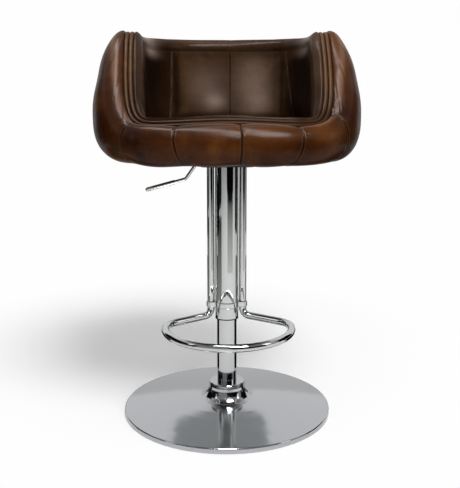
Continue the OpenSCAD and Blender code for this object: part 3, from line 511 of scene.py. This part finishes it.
def creaseField(phi, along, radius, creases):
    # Creases of pulled leather: shallow grooves with a soft lip beside each, deepest halfway along. An end is
    # a direction in degrees and a distance along the section in mm.
    spot = np.stack([phi[:, None] * radius, along], -1)
    field, fold = np.zeros(along.shape), np.zeros(along.shape)
    for (startDeg, startMm), (endDeg, endMm), depth, width in creases:
        start = np.stack([math.radians(startDeg) * radius, startMm + 0 * radius], -1)
        line = np.stack([math.radians(endDeg - startDeg) * radius, endMm - startMm + 0 * radius], -1)
        here = spot - start
        length = np.linalg.norm(line, axis=-1)
        halfSine = np.sin(math.pi * np.clip((here * line).sum(-1) / length**2, 0, 1))
        across = (here[..., 0] * line[..., 1] - here[..., 1] * line[..., 0]) / length
        away = np.abs(across + sewing["creaseBow"] * length * halfSine)
        strength = np.clip(halfSine, 0, 1) ** 0.7
        groove = bell(away, 0, width) * strength
        lip = sewing["creaseLip"] * bell(away, 2.3 * width, 1.3 * width) * strength
        field += depth * (lip - groove)
        # The groove of each crease is painted dark as its shade.
        fold = np.maximum(fold, groove)
    return field, fold


# Leather: the sizes of its patterns in mm. Pebbles and pores are drawn about twice as coarse as real ones.
hide = dict(
    cloudMm=143, fleckMm=16.7, pebbleMm=1.54, poreMm=2.4, creaseMm=33.3, stretchShare=0.6, darkShare=0.85,
    foldHex="#080301", threadHex="#5a4230", threadShare=0.7, stitchAway=3.2, stitchPitch=4.5, stitchDash=0.3,
    fleckShare=0.4, pebbleCap=0.22, poreShare=0.35, grainBump=0.45, grainDepth=0.5, creaseBump=0.5,
    creaseDepth=3, specular=0.06, tintHex="#c89878", coatRoughness=0.22,
)
rollLook = dict(
    low="#2c1103", middle="#472308", high="#623812", sheenAndWearHex="#8a6c58",
    shadow="#1b0701", roughness=0.45, coat=0.2)
liningLook = dict(
    low="#342011", middle="#4a321e", high="#5d432e", sheenAndWearHex="#b8a092",
    shadow="#0b0302", roughness=0.45, coat=0.14)
pipingLook = dict(
    low="#33200d", middle="#4c301a", high="#5e4028", sheenAndWearHex="#84684f",
    shadow="#1b0701", roughness=0.42, coat=0.1)
noSeam = 99.0


def waxedLeather(name, low, middle, high, sheenAndWearHex, shadow, roughness, coat):
    # Waxed hide: cloudy brown, painted paler as sheen and partly as wear, painted near black as the shade in
    # folds, with a pebbled grain, faint creases and a row of stitches on each side of a seam. The wax gives a
    # thin soft coat over it.
    material, tree, shader = newMaterial(name)
    place = addNode(tree, "TexCoord", out="Object")
    cloud = addNode(tree, "TexNoise", {
        "Vector": place, "Scale": patternScale(hide["cloudMm"]),
        "Detail": 5.0, "Roughness": 0.55, "Distortion": 0.7})
    fleck = addNode(tree, "TexNoise", {
        "Vector": place, "Scale": patternScale(hide["fleckMm"]), "Detail": 5.0, "Roughness": 0.6})
    tone = addNode(tree, "ValToRGB", {"Fac": cloud}, stops=((0.36, low), (0.5, middle), (0.66, high)))
    fleckTone = addNode(tree, "ValToRGB", {"Fac": fleck}, stops=((0.35, "#626262"), (0.65, "#9e9e9e")))
    tone = addNode(tree, "Mix", {
        0: hide["fleckShare"], 6: tone, 7: fleckTone}, 2, data_type="RGBA", blend_type="OVERLAY")
    # Painted layers over the hide: a paler tone for sheen and highlights, partly wear, then painted shade,
    # then the near black painted shade of folds and seams.
    for key, share, hexCode in (("stretch", hide["stretchShare"], sheenAndWearHex), ("deep", hide["darkShare"], shadow),
                                ("fold", hide["darkShare"], hide["foldHex"])):
        mark = addNode(tree, "Attribute", out="Fac", attribute_name=key)
        amount = addNode(tree, "Math", {0: mark, 1: share}, operation="MULTIPLY")
        tone = addNode(tree, "Mix", {0: amount, 6: tone, 7: hexCode}, 2, data_type="RGBA")

    # Stitches: thin dashes on a line beside the seam that fill two thirds of their pitch.
    seamAway = addNode(tree, "Attribute", out="Fac", attribute_name="seamAway")
    seamAlong = addNode(tree, "Attribute", out="Fac", attribute_name="seamAlong")
    seamAway = addNode(tree, "Math", {0: seamAway}, operation="ABSOLUTE")
    fromRow = addNode(tree, "Math", {0: seamAway, 1: hide["stitchAway"]}, operation="SUBTRACT")
    fromRow = addNode(tree, "Math", {0: fromRow}, operation="ABSOLUTE")
    inRow = addNode(tree, "MapRange", {
        "Value": fromRow, "From Min": 0.25, "From Max": 0.6, "To Min": 1.0, "To Max": 0.0})
    pitch = addNode(tree, "Math", {0: seamAlong, 1: 1 / hide["stitchPitch"]}, operation="MULTIPLY")
    pitch = addNode(tree, "Math", {0: pitch}, operation="FRACT")
    fromMiddle = addNode(tree, "Math", {0: pitch, 1: 0.5}, operation="SUBTRACT")
    fromMiddle = addNode(tree, "Math", {0: fromMiddle}, operation="ABSOLUTE")
    inDash = addNode(tree, "MapRange", {
        "Value": fromMiddle, "From Min": hide["stitchDash"], "From Max": 0.38, "To Min": 1.0, "To Max": 0.0})
    stitch = addNode(tree, "Math", {0: inRow, 1: inDash}, operation="MULTIPLY")
    thread = addNode(tree, "Math", {0: stitch, 1: hide["threadShare"]}, operation="MULTIPLY")
    tone = addNode(tree, "Mix", {0: thread, 6: tone, 7: hide["threadHex"]}, 2, data_type="RGBA")

    pebbles = addNode(tree, "TexVoronoi", {
        "Vector": place, "Scale": patternScale(hide["pebbleMm"])}, "Distance", feature="DISTANCE_TO_EDGE")
    pores = addNode(tree, "TexNoise", {"Vector": place, "Scale": patternScale(hide["poreMm"]), "Detail": 4.0})
    pores = addNode(tree, "Math", {0: pores, 1: hide["poreShare"]}, operation="MULTIPLY")
    height = addNode(tree, "Math", {0: pebbles, 1: hide["pebbleCap"]}, operation="MINIMUM")
    height = addNode(tree, "Math", {0: height, 1: pores}, operation="ADD")
    height = addNode(tree, "Math", {0: height, 1: stitch}, operation="ADD")
    grain = addNode(tree, "Bump", {
        "Height": height, "Strength": hide["grainBump"], "Distance": hide["grainDepth"] * mm})
    creases = addNode(tree, "TexNoise", {
        "Vector": place, "Scale": patternScale(hide["creaseMm"]), "Detail": 3.0, "Distortion": 0.8})
    bump = addNode(tree, "Bump", {
        "Height": creases, "Normal": grain,
        "Strength": hide["creaseBump"], "Distance": hide["creaseDepth"] * mm})
    gloss = addNode(tree, "MapRange", {
        "Value": fleck, "From Min": 0.3, "From Max": 0.7,
        "To Min": roughness - 0.05, "To Max": roughness + 0.08})
    feed(shader, {
        "Base Color": tone, "Normal": bump, "Roughness": gloss, "Specular IOR Level": hide["specular"],
        "Specular Tint": hide["tintHex"], "Coat Weight": coat, "Coat Roughness": hide["coatRoughness"]})
    return material


def sheenShadeAndSeamMaps(shape, hidden=0, **maps):
    # The leather's attributes, painted sheen and shade and the seam's distances, each spread over the points
    # of a piece, with plain columns where it is hidden.
    full = {}
    for key, plain in dict(stretch=0.0, fold=0.0, deep=0.0, seamAway=noSeam, seamAlong=0.0).items():
        rest = np.full(shape[:-1] + (hidden,), plain)
        full[key] = np.concatenate([np.broadcast_to(maps.get(key, plain), shape), rest], -1)
    return full


rollLeather = waxedLeather("waxedRollLeather", **rollLook)
liningLeather = waxedLeather("waxedLiningLeather", **liningLook)
pipingLeather = waxedLeather("waxedPipingLeather", **pipingLook)

# Outer roll. Each crease is a start, an end, its depth and its width. Most fan out from the corners of the
# mouth, where the front band is pulled round into the arms. The groove is (outwards, up) from the rim.
roll = dict(
    coarseDeg=0.9, fineDeg=0.16, reachDeg=5, across=110, arcSteps=60, sectionLength=270,
    groove=((12.5, 6), (11.0, 5.5), (9.9, 3.9), (9.4, 1.0), (9.3, -2), (9.2, -4.6)), grooveSteps=5,
    seam=dict(depth=2.0, width=1.0, puff=2.2, pucker=0.32, seed=3), lumpMm=110, lumpCount=14, lumpSeed=5,
    lipDraw=1.6, lipDrawReach=9, lipAt=0.9, lipWide=0.05, pale=0.65, paleAt=0.895, paleWide=0.03,
    mouthCorners=(221, 323), mouthWide=13, mouthDark=0.9, sideDark=0.75, lowDark=0.35, deepShare=0.5,
    creases=(
        ((331, 259), (318, 244), 1.7, 1.5), ((327, 262), (321, 224), 1.5, 1.5),
        ((324, 262), (315, 238), 1.2, 1.4), ((338, 256), (330, 226), 1.3, 1.6),
        ((345, 252), (339, 218), 1.0, 1.6), ((320, 258), (311, 250), 1.0, 1.2),
        ((217, 259), (229, 245), 1.5, 1.5), ((214, 254), (223, 228), 1.3, 1.6),
        ((221, 262), (233, 250), 1.0, 1.4), ((206, 256), (214, 222), 1.2, 1.6),
        ((198, 250), (204, 214), 0.9, 1.7), ((243, 262), (248, 243), 0.9, 1.3),
        ((277, 262), (271, 245), 0.8, 1.3), ((301, 262), (306, 244), 1.0, 1.3)),
)


def quarterArc(end, widest, share, rise):
    # A quarter of a superellipse from the widest line to an end: share goes outwards, rise towards the end.
    plan = blendTo(end[:, None, :2], widest[:, None, :2], share)
    return np.concatenate([plan, widest[:, None, 2:] + (end - widest)[:, None, 2:] * rise], -1)


def buildRoll():
    # Each section: from the bottom edge over the widest line and the crest into the groove, then back inside.
    phi = ringAngles(outerSeams, roll["coarseDeg"], roll["fineDeg"], roll["reachDeg"])
    widest, crest = bulgePoint(phi), besideRim(phi, -tub["crestOut"], tub["crestUp"])
    bottom = offRim(phi, tub["frameT"] / 2 + tub["gap"], tub["baseZ"])
    turn = np.radians(np.linspace(0, 90, roll["arcSteps"]))[None, :, None]
    cos, sin, lower, upper = np.cos(turn), np.sin(turn), 2 / tub["lowerPower"], 2 / tub["upperPower"]
    lowerHalf = quarterArc(bottom, widest, sin**lower, cos**lower)
    upperHalf = quarterArc(crest, widest, cos**upper, sin**upper)
    groove = np.stack([besideRim(phi, -out, up) for out, up in roll["groove"]], 1)
    overRim = throughPoints(groove, roll["grooveSteps"])
    skin = resampleRows(np.concatenate([lowerHalf, upperHalf[:, 1:], overRim[:, 1:]], 1), roll["across"])
    normals = surfaceNormals(skin)
    field, nearSeam, seamAway, seamAlong = seamField(phi, skin, outerSeams, False, roll["seam"])
    radius = np.linalg.norm(skin[..., :2], axis=-1)
    placeAlong = seamAlong * roll["sectionLength"] / seamAlong[:, -1:]
    creases, folds = creaseField(phi, placeAlong, radius, roll["creases"])
    share = np.linspace(0, 1, roll["across"])[None, :]
    # Each seam of the front band is pulled in a little more where it meets the piping.
    atLip = bell(seamAway, 0, roll["lipDrawReach"]) * bell(share, roll["lipAt"], roll["lipWide"])
    field = field - roll["lipDraw"] * atLip * (np.sin(phi) < -0.5)[:, None]
    hold = ease(share / 0.06) * ease((1 - share) / 0.1)
    lumps = softLumps(skin, roll["lumpMm"], roll["lumpCount"], roll["lumpSeed"])
    skin = skin + normals * ((field + lumps) * hold + creases)[..., None]
    topZ = rimHeight(rimPlan(phi)) - tub["frameDrop"] + tub["gap"]
    hidden = np.stack([
        besideRim(phi, -tub["gap"] / 2, -tub["shelfDepth"]), offRim(phi, tub["gap"] / 2, topZ),
        offRim(phi, tub["frameT"] / 2 + tub["gap"], topZ)], 1)
    # Painted shade: the low side, the outer sides of the arms and the corners of the mouth are darkened as if
    # in shade.
    side = ease((np.abs(np.cos(phi)) - 0.62) / 0.3)[:, None]
    mouth = sum(bell(np.degrees(phi), corner, roll["mouthWide"]) for corner in roll["mouthCorners"])[:, None]
    dark = np.max([
        1 - ease(share / roll["lowDark"]) + 0 * nearSeam,
        roll["sideDark"] * side * (1 - ease((share - 0.76) / 0.1)),
        roll["mouthDark"] * mouth * (1 - ease((share - 0.8) / 0.1))], 0)
    # Painted highlight: a pale band along the crest beside the groove, all round, broken at the seams.
    pale = roll["pale"] * bell(share, roll["paleAt"], roll["paleWide"]) * (1 - nearSeam)
    maps = sheenShadeAndSeamMaps(skin.shape[:2], hidden.shape[1], stretch=pale, fold=np.maximum(nearSeam, 0.7 * folds),
                    deep=roll["deepShare"] * dark, seamAway=seamAway, seamAlong=seamAlong)
    return gridMesh("outerRollLeather", np.concatenate([skin, hidden], 1), rollLeather, maps)


rollPiece = buildRoll()
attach(rollPiece, "seat")
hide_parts("outer_roll")
print("stage: outer roll", len(rollPiece.data.polygons))

# Inner lining. The groove is (inwards, up) from the rim. Where a back leans it is rubbed, and painted paler
# there as its sheen: a direction, its spread, a height, its spread and a strength. Between two corners it is
# drawn in beside the back panel.
lining = dict(
    coarseDeg=1.0, fineDeg=0.16, reachDeg=5, across=120, curveSteps=14, wallShares=(0.25, 0.5, 0.75, 1.0),
    groove=((9.2, -4.6), (9.2, 1.2), (9.6, 2.9), (11.2, 3.9), (14.5, 4.0)), crestIn=21, crestDrop=1.0,
    shoulderDrop=8, shoulderIn=1.5, seam=dict(depth=1.0, width=0.9, puff=2.0, pucker=0.2, seed=8),
    lumps=1.2, lumpMm=90, lumpCount=14, lumpSeed=6, headerDepth=1.0, headerWide=1.3, gather=0.2,
    gatherMm=15, wallRadius=160, middleSeamDeg=86, cornerDark=0.75, bandDark=0.6, crestDark=0.4, footDark=0.8,
    rubbedSheen=((97, 8, 668, 18, 0.75), (104, 14, 700, 45, 0.36), (67, 15, 695, 65, 0.5), (62, 9, 668, 22, 0.35)),
    corners=((39, 48), (124, 133)), cornerDraw=2.0, rimCorners=(12, 160), rimCornerWide=11, shadeHeight=92,
)


def buildLining():
    # Each section: out of the groove, over a soft crest, down the header band and the wall, and up behind.
    phi = ringAngles(innerSeams, lining["coarseDeg"], lining["fineDeg"], lining["reachDeg"])
    rimZ = rimHeight(rimPlan(phi))
    headerZ, lowZ = rimZ - tub["headerDrop"], tub["boardTop"] + tub["gap"]
    controls = [besideRim(phi, inwards, up) for inwards, up in lining["groove"]]
    controls.append(offRim(phi, -lining["crestIn"], rimZ - lining["crestDrop"]))
    controls.append(offRim(phi, -tub["liningT"] + lining["shoulderIn"], rimZ - lining["shoulderDrop"]))
    controls.append(offRim(phi, -tub["liningT"], headerZ))
    controls += [offRim(phi, -tub["liningT"], blendTo(headerZ, lowZ, down)) for down in lining["wallShares"]]
    skin = resampleRows(throughPoints(np.stack(controls, 1), lining["curveSteps"]), lining["across"])
    normals = surfaceNormals(skin)
    field, nearSeam, seamAway, seamAlong = seamField(phi, skin, innerSeams, True, lining["seam"])
    share = np.linspace(0, 1, lining["across"])[None, :]
    degrees, height = np.degrees(phi)[:, None], skin[..., 2]
    under = headerZ[:, None] - height

    # The header seam, at the back only, with gathers under and over it.
    headerAway = np.abs(under) + 60 * (share < 0.12)
    backOnly = ease((np.sin(phi) - 0.45) / 0.3)[:, None]
    header = np.exp(-((headerAway / lining["headerWide"]) ** 1.5)) * backOnly
    walkRound = phi[:, None] * lining["wallRadius"]
    waves = np.sin(walkRound * fullTurn / lining["gatherMm"] + 2 * np.sin(phi[:, None] * 9))
    gathers = waves * np.exp(-headerAway / 10) * (1 - header) * backOnly
    belowHeader, puffShare = ease(under / 4), ease((under + 4) / 26)
    field = field * blendTo(0.15, 1, puffShare) - lining["headerDepth"] * header + lining["gather"] * gathers
    corner = sum(ease((degrees - a) / 4) * ease((b - degrees) / 4) for a, b in lining["corners"])
    field = field - lining["cornerDraw"] * corner * puffShare

    # Painted shade: the side walls, the foot of the wall, the header band, the crest and the drawn-in corners
    # are darkened as if in shade.
    sideWall = ease((np.abs(np.cos(phi)) - 0.58) / 0.36)[:, None] * ease(under / 30)
    lowShade = lining["footDark"] * ease((tub["baseZ"] + lining["shadeHeight"] - height) / 14)
    notFront = ease((np.sin(phi) + 0.3) / 0.5)[:, None]
    headerBand = lining["bandDark"] * (1 - ease(under / 6)) * ease((share - 0.06) / 0.05) * notFront
    # Painted sheen on the crest at the corners of the rim, which also lifts the crest's painted shade there.
    rimCorner = sum(bell(degrees, corner, lining["rimCornerWide"]) for corner in lining["rimCorners"])
    onCrest = 1 - ease((share - 0.2) / 0.09)
    crestDark = lining["crestDark"] * onCrest * (1 - np.minimum(rimCorner, 1))
    # Painted sheen and highlight: the rubbed places, partly worn, the two side seams and the crest at the
    # corners of the rim. The middle seam stays dark.
    rubbedSheen = puffShare * sum(strength * bell(degrees, deg, wide) * bell(height, z, tall)
                             for deg, wide, z, tall, strength in lining["rubbedSheen"])
    sideSeam = bell(seamAway, 0, 1.5) * (np.abs(degrees - lining["middleSeamDeg"]) > 25) * belowHeader
    sideSeam = np.clip(sideSeam * (0.7 + 0.3 * softLumps(skin, 40, 10, 12)), 0, 1)

    lumps = lining["lumps"] * softLumps(skin, lining["lumpMm"], lining["lumpCount"], lining["lumpSeed"])
    skin = skin + normals * ((field + lumps) * ease(share / 0.1))[..., None]
    topZ = rimZ - tub["frameDrop"] + tub["gap"]
    behind = -tub["frameT"] / 2 - tub["gap"]
    hidden = np.stack([
        offRim(phi, behind, lowZ), offRim(phi, behind, topZ), offRim(phi, -tub["gap"] / 2, topZ),
        besideRim(phi, tub["gap"] / 2, -tub["shelfDepth"])], 1)
    drawnDark = lining["cornerDark"] * corner * puffShare
    dark = np.max([sideWall, headerBand, crestDark, drawnDark, lowShade], 0) * (1 - sideSeam)
    pale = np.max([0.3 * sideSeam, rubbedSheen, 0.8 * rimCorner * onCrest], 0)
    folds = np.maximum(nearSeam * belowHeader * (1 - sideSeam), 0.7 * header)
    maps = sheenShadeAndSeamMaps(skin.shape[:2], hidden.shape[1], stretch=pale, fold=folds, deep=dark, seamAlong=seamAlong,
                    seamAway=np.where(belowHeader > 0.5, seamAway, noSeam))
    return gridMesh("innerLiningLeather", np.concatenate([skin, hidden], 1), liningLeather, maps)


liningPiece = buildLining()
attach(liningPiece, "seat")
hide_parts("inner_lining")
print("stage: lining", len(liningPiece.data.polygons))


def sweptCord(middle, inward, up, radius, spin):
    # A section carried along a line: middle + radius * cos(spin) inwards + radius * sin(spin) up.
    inShare, upShare = (radius * np.cos(spin))[..., None], (radius * np.sin(spin))[..., None]
    return middle[:, None] + inShare * inward[:, None] + upShare * up[:, None]


def spinAngles(sides):
    # Directions round a section, counted backwards so that the faces point outwards.
    return -np.radians(np.arange(sides) * 360 / sides)[None, :]


# Piping: two cords along the rim, with a softly squared section that slow waves make a little uneven.
piping = dict(
    around=720, sides=20, power=2.6, mostOut=1.08, uneven=0.015, waves=(31, 47, 83, 121), darkFront=120)


def buildPiping(name, offset, seed):
    # A cord beside the rim: its radius is cordR times a superellipse, capped, and times 1 + the waves.
    phi = np.radians(np.arange(piping["around"]) * 360 / piping["around"])
    spin = spinAngles(piping["sides"])
    random = np.random.default_rng(seed)
    waves = sum(np.sin(phi * k + random.uniform(0, 6)) for k in piping["waves"]) / len(piping["waves"])
    power = piping["power"]
    square = (np.abs(np.cos(spin)) ** power + np.abs(np.sin(spin)) ** power) ** (-1 / power)
    radius = (tub["cordR"] * (1 + piping["uneven"] * waves))[:, None] * np.minimum(square, piping["mostOut"])
    up, inward = rimFrame(phi)
    middle = rimPoint(phi) + offset * inward
    grid = sweptCord(middle, inward, up, radius, spin)
    # Painted highlight on the top of each cord, painted shade under it and on the cords at the front.
    maps = sheenShadeAndSeamMaps(grid.shape[:2], stretch=0.25 * np.clip(np.sin(spin), 0, 1) ** 3,
                    fold=0.75 * np.clip(0.1 - np.sin(spin), 0, 1),
                    deep=0.8 * ease((-middle[:, 1:2] - piping["darkFront"]) / 40))
    return gridMesh(name, grid, pipingLeather, maps)


for cordName, cordNode, side, cordSeed in (("outerPipingCord", "outer_piping", -1, 1),
                                           ("innerPipingCord", "inner_piping", 1, 2)):
    cordPiece = buildPiping(cordName, side * tub["cordPitch"] / 2, cordSeed)
    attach(cordPiece, "seat")
    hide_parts(cordNode)
print("stage: piping")

# Seat cushion: a flat pad, blown up as cloth with its welt line and its foot held. sides are (out, height).
cushion = dict(
    around=180, crownZ=625, weltZ=615, weltOut=-33.5, topShares=(0.0, 0.2, 0.4, 0.6, 0.75, 0.88, 0.96),
    domePower=2.2, sides=((-33, 603), (-33, 588), (-37, 578)), footOut=-40, footZ=575.4,
    footShares=(1.0, 0.6, 0.0), voxel=6, pressure=30, mass=0.1, frames=20, mostUp=8, mostOut=2.6,
    weltR=2.6, weltSides=12, weltDraw=2.2, weltReach=6, lumps=0.7, lumpMm=80, puckers=0.5, puckerMm=17,
)


def padShape():
    # Each section: from the middle of the top over the welt line and the side to the middle of the bottom.
    # The top falls from the crown to the welt as the distance from the middle to the power domePower.
    phi = np.radians(np.arange(cushion["around"]) * 360 / cushion["around"])
    edge = offRim(phi, cushion["weltOut"], cushion["weltZ"])
    rows = []
    for share in cushion["topShares"]:
        z = blendTo(cushion["weltZ"], cushion["crownZ"], 1 - share ** cushion["domePower"])
        rows.append(np.concatenate([edge[:, :2] * share, column(phi, z)], 1))
    rows.append(edge)
    rows += [offRim(phi, out, z) for out, z in cushion["sides"]]
    foot = offRim(phi, cushion["footOut"], cushion["footZ"])
    rows += [np.concatenate([foot[:, :2] * share, foot[:, 2:]], 1) for share in cushion["footShares"]]
    return np.stack(rows, 1), edge


def vertexPlaces(mesh):
    # In millimetres.
    flat = np.empty(len(mesh.vertices) * 3, np.float32)
    mesh.vertices.foreach_get("co", flat)
    return flat.reshape(-1, 3).astype(float) / mm


def blownUp(points, faces):
    # The shape is remeshed and blown up as cloth. Returns its points before and after, and its faces.
    body = buildMesh("padForm", points, faces, pipingLeather)
    remesh = body.modifiers.new("remesh", "REMESH")
    remesh.mode = "VOXEL"
    remesh.voxel_size = cushion["voxel"] * mm
    form = bpy.data.meshes.new_from_object(body.evaluated_get(bpy.context.evaluated_depsgraph_get()))
    body.modifiers.clear()
    body.data = form
    before = after = vertexPlaces(form)
    formFaces = [tuple(face.vertices) for face in form.polygons]
    atWelt = (np.abs(before[:, 2] - cushion["weltZ"]) < 4) & (np.linalg.norm(before[:, :2], axis=1) > 120)
    atFoot = before[:, 2] < 580
    held = body.vertex_groups.new(name="held")
    held.add(np.flatnonzero(atWelt | atFoot).tolist(), 1.0, "REPLACE")
    settings = body.modifiers.new("cloth", "CLOTH").settings
    settings.use_pressure = True
    settings.uniform_pressure_force = cushion["pressure"]
    settings.mass = cushion["mass"]
    settings.vertex_group_mass = "held"
    settings.effector_weights.gravity = 0
    for step in range(1, cushion["frames"] + 1):
        bpy.context.scene.frame_set(step)
    after = vertexPlaces(body.evaluated_get(bpy.context.evaluated_depsgraph_get()).data)
    bpy.context.scene.frame_set(1)
    bpy.data.objects.remove(body)
    return before, after, formFaces


def buildCushion(padGrid, weltLine):
    rows, columns = padGrid.shape[:2]
    before, after, faces = blownUp(padGrid.reshape(-1, 3), gridFaces(rows, columns, False))
    moved = after - before
    moved[:, 2] = np.clip(moved[:, 2], -1, cushion["mostUp"])
    level = np.linalg.norm(moved[:, :2], axis=1, keepdims=True)
    moved[:, :2] *= np.minimum(1, cushion["mostOut"] / np.maximum(level, 1e-6))
    pad = before + moved
    # The skin dips towards the welt, with small puckers beside it and slow lumps over the crown.
    toWelt = np.linalg.norm(pad[:, None] - weltLine[None, ::2], axis=-1).min(1)
    onTop = ease((pad[:, 2] - cushion["weltZ"] + 2) / 3)
    pad[:, 2] -= cushion["weltDraw"] * bell(toWelt, 0, cushion["weltReach"]) * onTop
    lumps = cushion["lumps"] * softLumps(pad, cushion["lumpMm"], 12, 9) * ease(toWelt / 40)
    puckers = cushion["puckers"] * softLumps(pad, cushion["puckerMm"], 10, 4)
    pad[:, 2] += onTop * (lumps + puckers * np.exp(-toWelt / 14) * ease(toWelt / 6))
    # Paler over the crown away from the welt, painted shade along the welt, and painted shade on the sides
    # below the top.
    maps = sheenShadeAndSeamMaps((len(pad),), stretch=0.2 * onTop * ease(toWelt / 60), fold=0.8 * bell(toWelt, 0, 4),
                    deep=0.6 * (1 - onTop))
    piece = buildMesh("seatCushionLeather", pad, faces, liningLeather, maps)
    smooth = piece.modifiers.new("smooth", "SUBSURF")
    smooth.levels = smooth.render_levels = 1
    print("stage: cushion", len(pad), "most moved mm", round(float(np.abs(moved).max()), 1))
    return piece


def buildWelt(weltLine):
    # A thin round cord along the seam of the pad.
    along = unit(np.roll(weltLine, -1, 0) - np.roll(weltLine, 1, 0))
    up = np.array([0.0, 0.0, 1.0]) + 0 * weltLine
    spin = spinAngles(cushion["weltSides"])
    grid = sweptCord(weltLine, np.cross(up, along), up, cushion["weltR"], spin)
    # Painted highlight on the top of the welt and painted shade under it.
    maps = sheenShadeAndSeamMaps(grid.shape[:2], stretch=0.4 * np.clip(np.sin(spin), 0, 1) ** 3,
                    fold=np.clip(0.1 - np.sin(spin), 0, 1))
    return gridMesh("seatCushionWelt", grid, pipingLeather, maps)


padGrid, weltLine = padShape()
padPiece = buildCushion(padGrid, weltLine)
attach(padPiece, "seat")
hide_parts("seat_cushion")
weltPiece = buildWelt(weltLine)
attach(weltPiece, "seat")

# Dust cover: black cloth stapled under the board, with a turned hem and slight pulls between the staples.
cover = dict(
    inset=12, topZ=557.9, thick=0.3, holeHalfWidth=95.5, holeHalfDepth=75.5, holePower=20,
    hem=9, hemDrop=0.25, pull=0.12, pulls=42, pullReach=16, around=360, across=22,
)


def coverOutlines():
    # The cut edge, inside the edge of the board, and the hole for the seat plate, a high power superellipse.
    phi = np.radians(np.arange(cover["around"]) * 360 / cover["around"])
    edge = offRim(phi, -cover["inset"], cover["topZ"])[:, :2]
    halfDepth, power = cover["holeHalfDepth"], cover["holePower"]
    return phi, edge, ovalPlan(phi, cover["holeHalfWidth"], halfDepth, halfDepth, power, power)


def buildCover(phi, edge, hole):
    # Rows between the two outlines, closer together at the hem, with a second layer under them.
    share = np.linspace(0, 1, cover["across"])[None, :, None] ** 1.6
    plan = blendTo(edge[:, None], hole[:, None], share)
    away = np.linalg.norm(plan - edge[:, None], axis=-1)
    pulls = (0.5 + 0.5 * np.sin(cover["pulls"] * phi))[:, None] * np.exp(-away / cover["pullReach"])
    sag = cover["hemDrop"] * (1 - ease((away - cover["hem"]) / 1.5)) + cover["pull"] * pulls
    top = np.concatenate([plan, (cover["topZ"] - sag)[..., None]], -1)
    below = top - np.array([0, 0, cover["thick"]])
    return gridMesh("dustCoverCloth", np.concatenate([top, below[:, ::-1]], 1), wovenCloth)


coverAngles, coverEdge, coverHole = coverOutlines()
coverPiece = buildCover(coverAngles, coverEdge, coverHole)
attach(coverPiece, "seat")
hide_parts("dust_cover")
